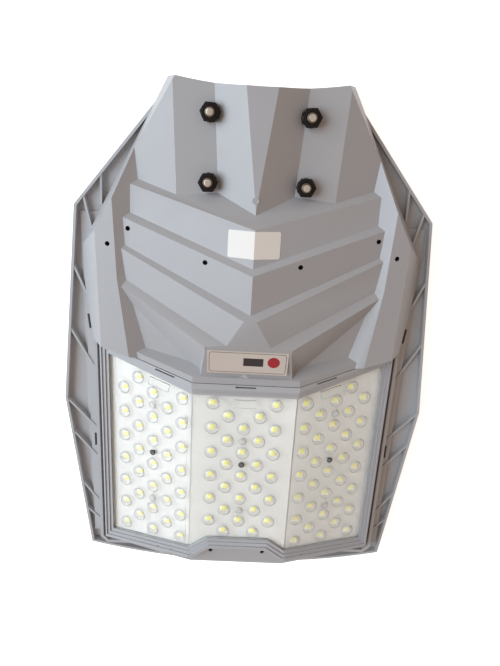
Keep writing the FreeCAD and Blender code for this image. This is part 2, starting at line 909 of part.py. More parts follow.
def tilt_of(name):
    """Turn of one facet about the length of the head."""
    angle = math.degrees(math.atan(facet_slope))
    return {"left": -angle, "centre": 0.0, "right": angle}[name]


def set_on_facet(shape, name, point):
    """A copy of a small shape, stood on a facet at one point."""
    copy = shape.copy()
    copy.rotate(Vector(0, 0, 0), Vector(0, 1, 0), tilt_of(name))
    return copy.translated(Vector(*point))


def dome(radius, height):
    """A shallow lens dome in flat facets, on a short root that sinks into the plate."""
    ball = (radius**2 + height**2) / (2 * height)
    rings = [(radius, -dome_root)]
    for share in dome_rings:
        rings.append((radius * share, math.sqrt(ball**2 - (radius * share) ** 2) + height - ball))
    return stack(dome_sides, rings)


def locator_places():
    """The two small clear pips on each facet."""
    pips = {"left": [], "centre": [], "right": []}
    distance = led_fold_gap + 2 * led_column_pitch
    for side, name in ((-1, "left"), (1, "right")):
        pips[name] = [facet_point(side, distance, y) for y in side_pip_y]
    pips["centre"] = [(0.0, y, facet_z) for y in centre_pip_y]
    return pips


def bump_bars():
    """The raised bar near the upper edge of each facet."""
    bar = box(-bump_length / 2, bump_length / 2, -bump_width / 2, bump_width / 2, -dome_root, bump_height)
    bars = [set_on_facet(bar, "centre", (0.0, centre_bump_y, facet_z))]
    for side, name in ((-1, "left"), (1, "right")):
        turned = bar.copy()
        turned.rotate(Vector(0, 0, 0), Vector(0, 0, 1), side * bump_turn)
        bars.append(set_on_facet(turned, name, facet_point(side, side_bump_distance, side_bump_y)))
    return bars


def plate_screw_places():
    """The screw in the middle of each facet, that holds the lens down on the board."""
    distance = led_fold_gap + 2 * led_column_pitch
    return {
        "left": facet_point(-1, distance, plate_screw_side_y),
        "centre": (0.0, plate_screw_y, facet_z),
        "right": facet_point(1, distance, plate_screw_side_y),
    }


def lens_plate():
    """The clear plate in three facets, with a dome over each emitter."""
    plate = folded(lens_face(lens_lap), -lens_thickness, 0.0)
    cap = dome(dome_radius, dome_height)
    pip = dome(locator_radius, locator_height)
    parts = [plate] + bump_bars()
    for name, places in emitter_places().items():
        parts += [set_on_facet(cap, name, point) for point in places]
    for name, places in locator_places().items():
        parts += [set_on_facet(pip, name, point) for point in places]
    hole = screw_hole(0, 0, -2 * lens_thickness, dome_height)
    holes = [set_on_facet(hole, name, point) for name, point in plate_screw_places().items()]
    return without(parts[0].multiFuse(parts[1:]), holes)


def lens_gasket():
    """The soft ring between the edge of the lens and the boards' carrier."""
    low = -lens_thickness - gasket_thickness
    ring = folded(lens_face(lens_lap), low, -lens_thickness)
    return ring.cut(prism(lens_face(lens_lap - gasket_width), 0.0, FAR))


def board_face(name):
    """One emitter board from above, inside the gasket and clear of the folds."""
    inside = lens_face(lens_lap - gasket_width - board_fit)
    inner = fold_half - board_fold_gap
    outer = fold_half + board_fold_gap
    spans = {
        "left": box(-FAR, -outer, -FAR, FAR, -1, 1),
        "centre": box(-inner, inner, -FAR, FAR, -1, 1),
        "right": box(outer, FAR, -FAR, FAR, -1, 1),
    }
    return inside.common(spans[name])


def led_board(name):
    """The aluminium board of one facet, with the hole for its screw."""
    plate = folded(board_face(name), -carrier_depth, board_thickness - carrier_depth)
    hole = screw_hole(0, 0, -2 * carrier_depth, carrier_depth)
    return plate.cut(set_on_facet(hole, name, plate_screw_places()[name]))


def emitters(name):
    """The square LED packages of one facet."""
    half = led_size / 2
    low = board_thickness - carrier_depth
    package = box(-half, half, -half, half, low, low + led_height)
    return Part.makeCompound([set_on_facet(package, name, p) for p in emitter_places()[name]])


def carrier_screw_places():
    """The five screws that hold the carrier up to the bezel."""
    distance = (carrier_side_x - fold_half) / math.cos(math.atan(facet_slope))
    return {
        "left": [facet_point(-1, distance, carrier_side_y)],
        "centre": [(x, y, facet_z) for x, y in both([(carrier_top_x, carrier_top_y)])]
        + [(0.0, carrier_foot_y, facet_z)],
        "right": [facet_point(1, distance, carrier_side_y)],
    }


def on_carrier_screws(shape):
    """A copy of a small shape at every carrier screw."""
    places = carrier_screw_places()
    return [set_on_facet(shape, name, point) for name in places for point in places[name]]


def board_carrier():
    """The folded aluminium sheet that the three boards lie on, with the rim under the gasket."""
    plan = lens_face(carrier_reach).common(bezel_face(bezel_wall + part_line)).Faces[0]
    sheet = folded(plan, -carrier_depth - carrier_thickness, -carrier_depth)
    rim = folded(lens_face(lens_lap), -carrier_depth, -lens_thickness - gasket_thickness)
    rim = rim.cut(prism(lens_face(lens_lap - gasket_width), 0.0, FAR))
    hole = screw_hole(0, 0, -3 * carrier_depth, 0)
    tools = on_carrier_screws(hole)
    tools += [set_on_facet(hole, name, point) for name, point in plate_screw_places().items()]
    tools.append(pillar(post_sides, lead_radius + lead_hole_fit, *lamp_lead_turns[-1][:2], 0.0, FAR))
    return without(fused([sheet, rim]), tools)


def small_screw(head_radius, length):
    """A small screw that stands on its head's underside."""
    head = pillar(post_sides, head_radius, 0, 0, 0.0, screw_head_height)
    return head.fuse(pillar(screw_sides, screw_radius, 0, 0, -length, 0.0))


def plate_screws():
    """The three dark screws in the middle of the facets."""
    screw = small_screw(plate_head_radius, plate_screw_length)
    places = plate_screw_places()
    return Part.makeCompound([set_on_facet(screw, name, point) for name, point in places.items()])


def carrier_screws():
    """The five screws under the carrier, heads down."""
    screw = small_screw(screw_head_radius, carrier_screw_length)
    screw.rotate(Vector(0, 0, 0), Vector(1, 0, 0), 180)
    screw = screw.translated(Vector(0, 0, -carrier_depth - carrier_thickness))
    return Part.makeCompound(on_carrier_screws(screw))


def cover_screws():
    """The six black screws sunk in the cover."""
    screws = []
    for x, y in both(cover_screw_places):
        seat = cover_surface(x, y) - screw_recess - screw_head_height
        screws.append(small_screw(screw_head_radius, screw_length).translated(Vector(x, y, seat)))
    return Part.makeCompound(screws)


def lip_screws():
    """The two black screws sunk in the lip of the bezel."""
    screws = []
    for x, y in both([(lip_screw_x, lip_screw_y)]):
        seat = lip_surface(y) - screw_recess - screw_head_height
        screws.append(small_screw(screw_head_radius, screw_length).translated(Vector(x, y, seat)))
    return Part.makeCompound(screws)


# Arm clamp


def pole_strap():
    """The pressed steel strap that the bolts draw down on the arm."""
    half_length = strap_length / 2
    top = land_z - cover_wall
    low = top - strap_thickness
    start = Vector(0, bolt_centre_y - half_length, arm_axis_z)
    outer = Part.makeCylinder(arm_radius + strap_thickness, strap_length, start, Vector(0, 1, 0))
    front, back = bolt_centre_y - half_length, bolt_centre_y + half_length
    arch = outer.common(box(-FAR, FAR, front, back, low, FAR))
    ears = box(-strap_half, strap_half, front, back, low, top)
    body = arch.fuse(ears).removeSplitter().cut(arm_space(arm_radius))
    radius = bolt_size / 2 + bolt_fit
    return without(body, [pillar(bolt_sides, radius, x, y, 0, FAR) for x, y in bolt_places()])


def clamp_stack(z):
    """Height over the land of the neck."""
    return land_z + z


def clamp_bolts():
    """Four hexagon bolts, heads in the back, ends through the nuts."""
    bolts = []
    seat, radius = bolt_pocket_depth, bolt_size / 2
    top = clamp_stack(washer_thickness + nut_height + bolt_tail)
    for x, y in bolt_places():
        head = hexagon(nut_flats, x, y, seat - bolt_head_height, seat)
        shank = [(radius, seat - bolt_head_height / 2), (radius, top - bolt_point)]
        shank.append((radius - bolt_point, top))
        bolts.append(head.fuse(stack(bolt_sides, shank).translated(Vector(x, y, 0))))
    return Part.makeCompound(bolts)


def clamp_washers():
    """The flat washers under the nuts."""
    low, high = clamp_stack(0.0), clamp_stack(washer_thickness)
    rings = []
    for x, y in bolt_places():
        bore = pillar(bolt_sides, bolt_size / 2 + bolt_fit, x, y, low, high)
        rings.append(pillar(bolt_sides, washer_radius, x, y, low, high).cut(bore))
    return Part.makeCompound(rings)


def clamp_nuts():
    """The four hexagon nuts."""
    low, high = clamp_stack(washer_thickness), clamp_stack(washer_thickness + nut_height)
    nuts = []
    for x, y in bolt_places():
        bore = pillar(bolt_sides, bolt_size / 2 + bolt_thread_fit, x, y, low, high)
        nuts.append(hexagon(nut_flats, x, y, low, high).cut(bore))
    return Part.makeCompound(nuts)


# Labels


def rating_sticker():
    """The thin label on the floor of its pocket."""
    return label_pocket(pocket_depth - label_thickness, pocket_depth, label_gap)


def paper_sticker():
    """The blank paper label folded over the keel of the first wide band."""
    band = Face(crest_1_y, crest_1_z, band_1_side, band_1_rise)
    plan = box(-paper_half, paper_half, paper_top_y - paper_length, paper_top_y, 0.0, FAR / 2)
    return plan.common(roof([band], -paper_thickness)).cut(roof([band]))


# Battery and controller


def cell_axes():
    """Where each cell lies across the head, and the height of their axes."""
    first = -(cell_count - 1) / 2 * cell_pitch
    return [first + cell_pitch * index for index in range(cell_count)], pad_top + cell_lift + cell_radius


def battery_cells():
    """The lithium cells, side by side along the head."""
    across, height = cell_axes()
    start = cell_centre_y - cell_length / 2
    end = start + cell_length
    return Part.makeCompound([lying(cell_sides, cell_radius, x, height, start, end) for x in across])


def cell_holder(side):
    """The moulded holder at one end of the cells."""
    across, height = cell_axes()
    half = across[-1] + cell_radius + holder_wall
    end = cell_length / 2 + tab_thickness + holder_wall
    near, far = sorted((cell_centre_y + side * (end - holder_length), cell_centre_y + side * end))
    block = box(-half, half, near, far, pad_top, height + cell_radius + holder_wall)
    inner = cell_centre_y + side * (cell_length / 2 + tab_thickness)
    low, high = sorted((inner, cell_centre_y))
    tools = [lying(cell_sides, cell_radius + cell_fit, x, height, low, high) for x in across]
    near, far = sorted((inner, inner - side * (tab_thickness + cell_fit)))
    half = tab_width / 2 + cell_fit
    tools.append(box(across[0] - half, across[-1] + half, near, far, height - half, height + half))
    return without(block, tools)


def cell_tabs():
    """The nickel strips that join the cells, two at each end."""
    across, height = cell_axes()
    half = tab_width / 2
    strips = []
    for side in (-1, 1):
        end = cell_centre_y + side * cell_length / 2
        near, far = sorted((end, end + side * tab_thickness))
        for left, right in zip(across[::2], across[1::2]):
            strips.append(box(left - half, right + half, near, far, height - half, height + half))
    return Part.makeCompound(strips)


def bridge_places():
    """The two screws of the bridge over the cells."""
    across, height = cell_axes()
    return both([(across[-1] + cell_radius + bridge_reach, cell_centre_y)])


def bridge_seat():
    """Height of the posts under the bridge."""
    return cell_axes()[1] + cell_radius + cell_fit


def cell_stop(side):
    """The low wall of the tray behind one cell holder."""
    across, height = cell_axes()
    end = cell_length / 2 + tab_thickness + holder_wall + cell_fit
    near, far = sorted((cell_centre_y + side * end, cell_centre_y + side * (end + cradle_end_wall)))
    return box(across[0], across[-1], near, far, 0.0, pad_top + cradle_end_height)


def battery_bridge():
    """The bar that holds the cells down."""
    half = bridge_places()[1][0] + post_radius
    y = cell_centre_y
    low = bridge_seat()
    bar = box(-half, half, y - bridge_width / 2, y + bridge_width / 2, low, low + bridge_thickness)
    return without(bar, [screw_hole(x, y, 0, FAR) for x, y in bridge_places()])


def bridge_screws():
    """The two screws of the bridge."""
    screw = small_screw(screw_head_radius, bridge_screw_length)
    seat = bridge_seat() + bridge_thickness
    return Part.makeCompound([screw.translated(Vector(x, y, seat)) for x, y in bridge_places()])


def standoff_places():
    """The four corners of the controller board."""
    half_x = controller_half - standoff_radius
    half_y = controller_width / 2 - standoff_radius
    return both([(half_x, controller_y + half_y), (half_x, controller_y - half_y)])


def board_top():
    """Height of the upper side of the controller board."""
    return pad_top + controller_lift + board_thickness


def controller_board():
    """The charge controller's circuit board."""
    low, half_y = pad_top + controller_lift, controller_width / 2
    near, far = controller_y - half_y, controller_y + half_y
    plate = box(-controller_half, controller_half, near, far, low, board_top())
    return without(plate, [screw_hole(x, y, 0, FAR) for x, y in standoff_places()])


def controller_screws():
    """The four screws of the controller board."""
    screw = small_screw(screw_head_radius, board_screw_length)
    return Part.makeCompound([screw.translated(Vector(x, y, board_top())) for x, y in standoff_places()])


def controller_parts():
    """What stands on the controller board: an inductor, capacitors and two terminal blocks."""
    low = board_top()
    coil = pillar(cell_sides, inductor_radius, inductor_x, controller_y, low, low + inductor_height)
    coil = coil.cut(pillar(post_sides, inductor_bore, inductor_x, controller_y, low + inductor_bore, FAR))
    cans = []
    for index in range(3):
        x = capacitor_x + capacitor_pitch * index
        cans.append(pillar(bolt_sides, capacitor_radius, x, controller_y, low, low + capacitor_height))
    blocks = []
    for side in (-1, 1):
        edge = side * controller_width / 2
        near, far = sorted((controller_y + edge, controller_y + edge - side * terminal_depth))
        blocks.append(box(-terminal_half, terminal_half, near, far, low, low + terminal_height))
    return coil, Part.makeCompound(cans), Part.makeCompound(blocks)


def panel_terminal_box():
    """The small box over the hole in the pad, where the panel's tabs come through."""
    half = terminal_box_size / 2
    low, high = pad_top, pad_top + terminal_box_height
    return box(lead_hole_x - half, lead_hole_x + half, lead_hole_y - half, lead_hole_y + half, low, high)


def lead(points):
    """A flexible lead: straight runs joined by tangent arcs, swept with a six-sided section."""
    points = [Vector(*point) for point in points]
    edges = []
    here = points[0]
    for before, corner, after in zip(points, points[1:], points[2:]):
        first, second = corner - before, after - corner
        turn = first.getAngle(second)
        radius = lead_share * min(first.Length, second.Length) / math.tan(turn / 2)
        print(f"lead arc radius {radius:.1f}")
        reach = lead_share * min(first.Length, second.Length)
        start = corner - Vector(first).normalize() * reach
        end = corner + Vector(second).normalize() * reach
        bisector = (Vector(second).normalize() - Vector(first).normalize()).normalize()
        centre = corner + bisector * (radius / math.cos(turn / 2))
        middle = centre - bisector * radius
        edges += [Part.makeLine(here, start), Part.Arc(start, middle, end).toShape()]
        here = end
    edges.append(Part.makeLine(here, points[-1]))
    path = Part.Wire(edges)
    section = flat(corners_of(screw_sides, lead_radius)).OuterWire
    heading = FreeCAD.Rotation(Vector(0, 0, 1), points[1] - points[0])
    section.Placement = FreeCAD.Placement(points[0], heading)
    return path.makePipeShell([section], True, False)


def panel_lead():
    """From the panel's terminal box to the controller."""
    start = (lead_hole_x - terminal_box_size / 2, lead_hole_y, panel_lead_turns[0][2])
    return lead([start, *panel_lead_turns, terminal_entry(1, panel_lead_turns[-1][0])])


def terminal_entry(side, x):
    """Where a lead meets the outer face of a terminal block, half way up it."""
    return x, controller_y + side * controller_width / 2, lead_level


def battery_lead():
    """From the near cell holder to the controller."""
    end = cell_centre_y - cell_length / 2 - tab_thickness - holder_wall
    first, last = battery_lead_turns[0], battery_lead_turns[-1]
    return lead([(first[0], end, first[2]), *battery_lead_turns, terminal_entry(1, last[0])])


def lamp_lead():
    """From the controller up to the middle emitter board."""
    first, last = lamp_lead_turns[0], lamp_lead_turns[-1]
    board = (last[0], last[1], facet_z - carrier_depth)
    return lead([terminal_entry(-1, first[0]), *lamp_lead_turns, board])


cover_solid = cover_form()
coil, capacitors, terminals = controller_parts()
os.makedirs("parts", exist_ok=True)
save("rear_tray", rear_tray())
save("solar_panel", solar_panel())
save("panel_seal", panel_seal_ring())
save("front_cover", front_cover())
save("cover_screws", cover_screws())
save("lamp_bezel", lamp_bezel())
save("lip_screws", lip_screws())
save("lens_plate", lens_plate())
save("lens_gasket", lens_gasket())
save("board_carrier", board_carrier())
save("carrier_screws", carrier_screws())
save("plate_screws", plate_screws())
for name in ("left", "centre", "right"):
    save(f"board_{name}", led_board(name))
    save(f"emitters_{name}", emitters(name))
save("pole_strap", pole_strap())
save("clamp_bolts", clamp_bolts())
save("clamp_washers", clamp_washers())
save("clamp_nuts", clamp_nuts())
save("rating_sticker", rating_sticker())
save("paper_sticker", paper_sticker())
save("battery_cells", battery_cells())
save("cell_tabs", cell_tabs())
save("holder_near", cell_holder(-1))
save("holder_far", cell_holder(1))
save("battery_bridge", battery_bridge())
save("bridge_screws", bridge_screws())
save("controller_board", controller_board())
save("controller_screws", controller_screws())
save("controller_coil", coil)
save("controller_capacitors", capacitors)
save("controller_terminals", terminals)
save("panel_terminal_box", panel_terminal_box())
save("panel_lead", panel_lead())
save("battery_lead", battery_lead())
save("lamp_lead", lamp_lead())
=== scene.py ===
"""The looks of the street light head: finishes, bevelled shells, emitters, labels, light and camera."""

import logging
import math
from dataclasses import dataclass, field
from enum import Enum

import bmesh
import bpy
from mathutils import Matrix, Vector
from mathutils.bvhtree import BVHTree


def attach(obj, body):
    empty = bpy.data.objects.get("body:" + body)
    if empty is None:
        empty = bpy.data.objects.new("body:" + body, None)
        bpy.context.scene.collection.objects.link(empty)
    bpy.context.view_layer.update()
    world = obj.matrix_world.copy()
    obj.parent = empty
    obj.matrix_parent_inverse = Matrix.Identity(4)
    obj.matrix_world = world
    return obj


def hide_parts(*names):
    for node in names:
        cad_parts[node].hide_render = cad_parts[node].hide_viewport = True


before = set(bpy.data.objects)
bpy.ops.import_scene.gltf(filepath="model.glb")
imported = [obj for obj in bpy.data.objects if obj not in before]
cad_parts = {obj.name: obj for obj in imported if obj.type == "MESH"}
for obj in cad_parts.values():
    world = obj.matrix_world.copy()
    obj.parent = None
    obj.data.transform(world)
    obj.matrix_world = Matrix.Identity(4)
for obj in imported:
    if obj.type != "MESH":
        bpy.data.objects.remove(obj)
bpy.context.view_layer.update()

log = logging.getLogger("street_light_head")

Point = tuple[float, float, float]
Colour = tuple[float, float, float]
NODES: dict[str, bpy.types.Object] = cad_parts


def linear(colour: Colour) -> tuple[float, float, float, float]:
    """Turn a screen colour into the linear colour that a shader takes.

    Args:
        colour: red, green and blue from 0 to 1, as a screen shows them.

    Returns:
        The linear colour with an alpha of 1.
    """
    parts = [c / 12.92 if c <= 0.04045 else ((c + 0.055) / 1.055) ** 2.4 for c in colour]
    return parts[0], parts[1], parts[2], 1.0


class Tree:
    """A small helper that adds and joins nodes."""

    def __init__(self, nodes: bpy.types.NodeTree) -> None:
        """Keep the node tree that is filled."""
        self.tree = nodes

    def add(self, kind: str, **values: object) -> bpy.types.Node:
        """Add a node and set its own properties.

        Args:
            kind: the node's type name.
            values: properties of the node.

        Returns:
            The new node.
        """
        node = self.tree.nodes.new(kind)
        for name, value in values.items():
            setattr(node, name, value)
        return node

    def join(self, start: bpy.types.NodeSocket, end: bpy.types.NodeSocket) -> None:
        """Link two sockets."""
        self.tree.links.new(start, end)

    def value(self, kind: str, operation: str, *inputs: object) -> bpy.types.NodeSocket:
        """Add a math node whose inputs are sockets or numbers.

        Args:
            kind: the type of the math node.
            operation: what it works out.
            inputs: sockets or numbers, in order.

        Returns:
            The socket with the result.
        """
        node = self.add(kind, operation=operation)
        for socket, given in zip(node.inputs, inputs):
            if isinstance(given, bpy.types.NodeSocket):
                self.join(given, socket)
            else:
                socket.default_value = given
        return node.outputs[0]

    def math(self, operation: str, *inputs: object) -> bpy.types.NodeSocket:
        """Work out one number."""
        return self.value("ShaderNodeMath", operation, *inputs)

    def blend(self, factor: object, first: object, second: object) -> bpy.types.NodeSocket:
        """Mix two colours.

        Args:
            factor: a socket or a number, 0 for the first colour.
            first: a socket or a colour.
            second: a socket or a colour.

        Returns:
            The mixed colour's socket.
        """
        node = self.add("ShaderNodeMix", data_type="RGBA")
        for socket, given in zip((node.inputs[0], node.inputs[6], node.inputs[7]), (factor, first, second)):
            if isinstance(given, bpy.types.NodeSocket):
                self.join(given, socket)
            else:
                socket.default_value = given
        return node.outputs[2]

    def noise(self, place: bpy.types.NodeSocket, scale: float, detail: float = 2.0) -> bpy.types.NodeSocket:
        """Add a noise pattern.

        Args:
            place: the coordinates it follows.
            scale: how many blotches there are to a metre.
            detail: how many finer layers are added.

        Returns:
            The socket with its factor.
        """
        node = self.add("ShaderNodeTexNoise")
        node.inputs["Scale"].default_value = scale
        node.inputs["Detail"].default_value = detail
        self.join(place, node.inputs["Vector"])
        return node.outputs[0]

    def remap(self, socket: bpy.types.NodeSocket, low: float, high: float, start: float = 0.0,
              end: float = 1.0) -> bpy.types.NodeSocket:
        """Stretch a number from one range to another.

        Args:
            socket: the number.
            low: what the start of the range becomes.
            high: what its end becomes.
            start: start of the range.
            end: end of the range.

        Returns:
            The stretched number's socket.
        """
        node = self.add("ShaderNodeMapRange")
        self.join(socket, node.inputs[0])
        for index, number in enumerate((start, end, low, high), start=1):
            node.inputs[index].default_value = number
        return node.outputs[0]


@dataclass(frozen=True)
class Finish:
    """A plain surface: its colour with soft blotches, its gloss and its grain.

    Attributes:
        colour: screen colour.
        rough: middle roughness.
        metal: 0 for plastic, 1 for bare metal.
        blotch: how far the colour wanders.
        blotch_scale: blotches to a metre.
        grain: height of the grain in metres.
        grain_scale: grains to a metre.
        spread: how far the roughness wanders.
        sheen: how much the surface mirrors, 0.5 for plain plastic.
    """

    colour: Colour
    rough: float = 0.5
    metal: float = 0.0
    blotch: float = 0.04
    blotch_scale: float = 18.0
    grain: float = 0.00002
    grain_scale: float = 1400.0
    spread: float = 0.06
    sheen: float = 0.5

    def tone(self, tree: Tree, place: bpy.types.NodeSocket) -> object:
        """Work out the surface's colour.

        Args:
            tree: the material's nodes.
            place: object coordinates.

        Returns:
            A colour socket.
        """
        base = linear(self.colour)
        dark = tuple(part * (1 - self.blotch) for part in base[:3]) + (1.0,)
        light = tuple(min(part * (1 + self.blotch), 1.0) for part in base[:3]) + (1.0,)
        return tree.blend(tree.noise(place, self.blotch_scale, 4.0), dark, light)

    def shine(self, tree: Tree, shader: bpy.types.Node, place: bpy.types.NodeSocket) -> None:
        """Set roughness and metal on the shader."""
        shader.inputs["Metallic"].default_value = self.metal
        shader.inputs["Specular IOR Level"].default_value = self.sheen
        gloss = tree.noise(place, self.blotch_scale * 5, 3.0)
        tree.join(tree.remap(gloss, self.rough - self.spread, self.rough + self.spread), shader.inputs["Roughness"])

    def relief(self, tree: Tree, shader: bpy.types.Node, place: bpy.types.NodeSocket) -> None:
        """Give the surface its grain."""
        bump = tree.add("ShaderNodeBump")
        bump.inputs["Distance"].default_value = self.grain
        bump.inputs["Strength"].default_value = 1.0
        tree.join(tree.noise(place, self.grain_scale, 2.0), bump.inputs["Height"])
        tree.join(bump.outputs[0], shader.inputs["Normal"])

    def material(self, name: str) -> bpy.types.Material:
        """Build the material.

        Args:
            name: the material's name.

        Returns:
            The finished material.
        """
        material = bpy.data.materials.new(name)
        material.use_nodes = True
        tree = Tree(material.node_tree)
        shader = material.node_tree.nodes["Principled BSDF"]
        place = tree.add("ShaderNodeTexCoord").outputs["Object"]
        tree.join(self.tone(tree, place), shader.inputs["Base Color"])
        self.shine(tree, shader, place)
        self.relief(tree, shader, place)
        self.extra(tree, shader)
        return material

    def extra(self, tree: Tree, shader: bpy.types.Node) -> None:
        """Leave room for what a special finish adds."""


@dataclass(frozen=True)
class ClearPlastic(Finish):
    """Clear plastic that lets the lamps through to the boards behind it."""

    def extra(self, tree: Tree, shader: bpy.types.Node) -> None:
        """Make the surface clear, and open to light on its way to the boards."""
        shader.inputs["Transmission Weight"].default_value = 1.0
        shader.inputs["IOR"].default_value = 1.45
        path = tree.add("ShaderNodeLightPath")
        clear = tree.add("ShaderNodeBsdfTransparent")
        clear.inputs[0].default_value = (0.80, 0.80, 0.81, 1.0)
        mix = tree.add("ShaderNodeMixShader")
        tree.join(path.outputs["Is Shadow Ray"], mix.inputs[0])
        tree.join(shader.outputs[0], mix.inputs[1])
        tree.join(clear.outputs[0], mix.inputs[2])
        output = next(node for node in tree.tree.nodes if node.type == "OUTPUT_MATERIAL")
        tree.join(mix.outputs[0], output.inputs["Surface"])


@dataclass(frozen=True)
class ShadedRootPlastic(Finish):
    """The same plastic made grey and half clear where it turns steeply, as at the root of a dome: painted shade for the
    dark ring that refraction gives there.
    """

    def extra(self, tree: Tree, shader: bpy.types.Node) -> None:
        """Let a part of the light through."""
        shader.inputs["Transmission Weight"].default_value = 0.5
        shader.inputs["IOR"].default_value = 1.45


@dataclass(frozen=True)
class SolarCells(Finish):
    """Dark cells under glass, with the gaps between them and their thin silver fingers.

    Attributes:
        pitch_x: width of a cell with its gap.
        pitch_y: length of a cell with its gap.
        gap: half the gap between cells.
        centre_y: middle of the panel along the head.
    """

    pitch_x: float = 0.0365
    pitch_y: float = 0.0658
    gap: float = 0.0008
    centre_y: float = -0.0465

    def tone(self, tree: Tree, place: bpy.types.NodeSocket) -> object:
        """Lay cells, bus bars and fingers over a pale backing."""
        split = tree.add("ShaderNodeSeparateXYZ")
        tree.join(place, split.inputs[0])
        across = tree.math("ADD", split.outputs[0], self.pitch_x * 8)
        along = tree.math("ADD", split.outputs[1], self.pitch_y * 10 - self.centre_y + self.pitch_y / 2)
        in_x = tree.math("MODULO", across, self.pitch_x)
        in_y = tree.math("MODULO", along, self.pitch_y)
        edge_x = tree.math("MINIMUM", in_x, tree.math("SUBTRACT", self.pitch_x, in_x))
        edge_y = tree.math("MINIMUM", in_y, tree.math("SUBTRACT", self.pitch_y, in_y))
        inside = tree.math("GREATER_THAN", tree.math("MINIMUM", edge_x, edge_y), self.gap)
        bar_place = tree.math("ABSOLUTE", tree.math("SUBTRACT", in_x, self.pitch_x / 2))
        bar = tree.math("LESS_THAN", bar_place, 0.0006)
        finger = tree.math("LESS_THAN", tree.math("MODULO", along, 0.0022), 0.00018)
        silver = tree.math("MULTIPLY", tree.math("MAXIMUM", bar, finger), inside)
        cell = tree.blend(tree.noise(place, 25.0, 3.0), linear((0.05, 0.07, 0.16)), linear((0.07, 0.10, 0.22)))
        base = tree.blend(inside, linear(self.colour), cell)
        return tree.blend(silver, base, linear((0.62, 0.64, 0.68)))

    def extra(self, tree: Tree, shader: bpy.types.Node) -> None:
        """Put a clear glass coat over the cells."""
        shader.inputs["Coat Weight"].default_value = 1.0
        shader.inputs["Coat Roughness"].default_value = 0.03


@dataclass(frozen=True)
class BrushedMetal(Finish):
    """Bare metal with fine lines along one direction."""

    def relief(self, tree: Tree, shader: bpy.types.Node, place: bpy.types.NodeSocket) -> None:
        """Stretch the grain into lines."""
        mapping = tree.add("ShaderNodeMapping")
        mapping.inputs["Scale"].default_value = (1.0, 0.03, 1.0)
        tree.join(place, mapping.inputs["Vector"])
        super().relief(tree, shader, mapping.outputs[0])


class Finishes(Enum):
    """Every finish of the head, by the piece that wears it."""

    TRAY = Finish((0.705, 0.71, 0.72), rough=0.55)
    COVER = Finish((0.655, 0.655, 0.665), rough=0.42)
    BEZEL = Finish((0.685, 0.69, 0.705), rough=0.42)
    CLEAR = ClearPlastic((0.95, 0.95, 0.945), rough=0.06, grain=0.000004, spread=0.02)
    # Painted shade: grey, half clear plastic on the steep roots of the domes and the walls of the bars, for the dark
    # rings and lines that refraction gives.
    CLEAR_ROOT_SHADE = ShadedRootPlastic((0.78, 0.78, 0.77), rough=0.35, grain=0.000004, spread=0.05)
    BOARD = Finish((0.865, 0.845, 0.83), rough=0.4, blotch=0.01)
    PACKAGE = Finish((0.94, 0.925, 0.89), rough=0.5, blotch=0.01)
    PHOSPHOR = Finish((0.93, 0.905, 0.56), rough=0.45, blotch=0.06, blotch_scale=400.0)
    BLACK_STEEL = Finish((0.09, 0.07, 0.06), rough=0.42, blotch=0.2, blotch_scale=120.0, sheen=0.15)
    BLACK_SCREW = Finish((0.05, 0.05, 0.05), rough=0.7, blotch=0.2, blotch_scale=160.0, sheen=0.05)
    DARK_STEEL = Finish((0.48, 0.48, 0.48), rough=0.4, metal=0.6, blotch=0.2, blotch_scale=160.0)
    BRIGHT_STEEL = BrushedMetal((0.74, 0.74, 0.75), rough=0.28, metal=1.0, blotch=0.08, blotch_scale=90.0)
    PLATED_STEEL = Finish((0.74, 0.70, 0.65), rough=0.26, metal=0.95, blotch=0.25, blotch_scale=300.0)
    # Painted shade: the bolts' threads are a darker copy of the bolt steel, for the shade inside the nuts; the ends
    # keep the lighter plated colour.
    SHADED_THREAD_STEEL = Finish((0.36, 0.30, 0.25), rough=0.45, metal=0.7, blotch=0.25, blotch_scale=260.0)
    ALUMINIUM = BrushedMetal((0.80, 0.80, 0.81), rough=0.38, metal=1.0, blotch=0.05)
    RUBBER = Finish((0.09, 0.09, 0.09), rough=0.8, grain=0.00005)
    SILICONE = Finish((0.84, 0.84, 0.83), rough=0.7, grain=0.00004)
    PAPER = Finish((0.92, 0.915, 0.90), rough=0.75, blotch=0.015, grain=0.00003, grain_scale=2500.0)
    LABEL = Finish((0.80, 0.765, 0.735), rough=0.34, metal=0.25, blotch=0.03, blotch_scale=60.0)
    INK = Finish((0.16, 0.12, 0.12), rough=0.5, blotch=0.1)
    RED_INK = Finish((0.62, 0.13, 0.16), rough=0.5, blotch=0.05)
    CELLS = SolarCells((0.72, 0.74, 0.76), rough=0.35, grain=0.000005)
    SLEEVE = Finish((0.08, 0.25, 0.55), rough=0.3)
    BLACK_PLASTIC = Finish((0.09, 0.09, 0.1), rough=0.5)
    SOLDER_MASK = Finish((0.04, 0.25, 0.12), rough=0.35)
    FERRITE = Finish((0.14, 0.14, 0.15), rough=0.6)
    CAN = Finish((0.15, 0.17, 0.28), rough=0.35, metal=0.4)
    TERMINAL = Finish((0.10, 0.38, 0.18), rough=0.45)


_made: dict[Finishes, bpy.types.Material] = {}


def finish(kind: Finishes) -> bpy.types.Material:
    """Give the material of one finish, made at its first use.

    Args:
        kind: which finish.

    Returns:
        Its material.
    """
    if kind not in _made:
        _made[kind] = kind.value.material(kind.name.lower())
    return _made[kind]


def wear(obj: bpy.types.Object, kind: Finishes) -> None:
    """Give an object one finish all over."""
    obj.data.materials.clear()
    obj.data.materials.append(finish(kind))


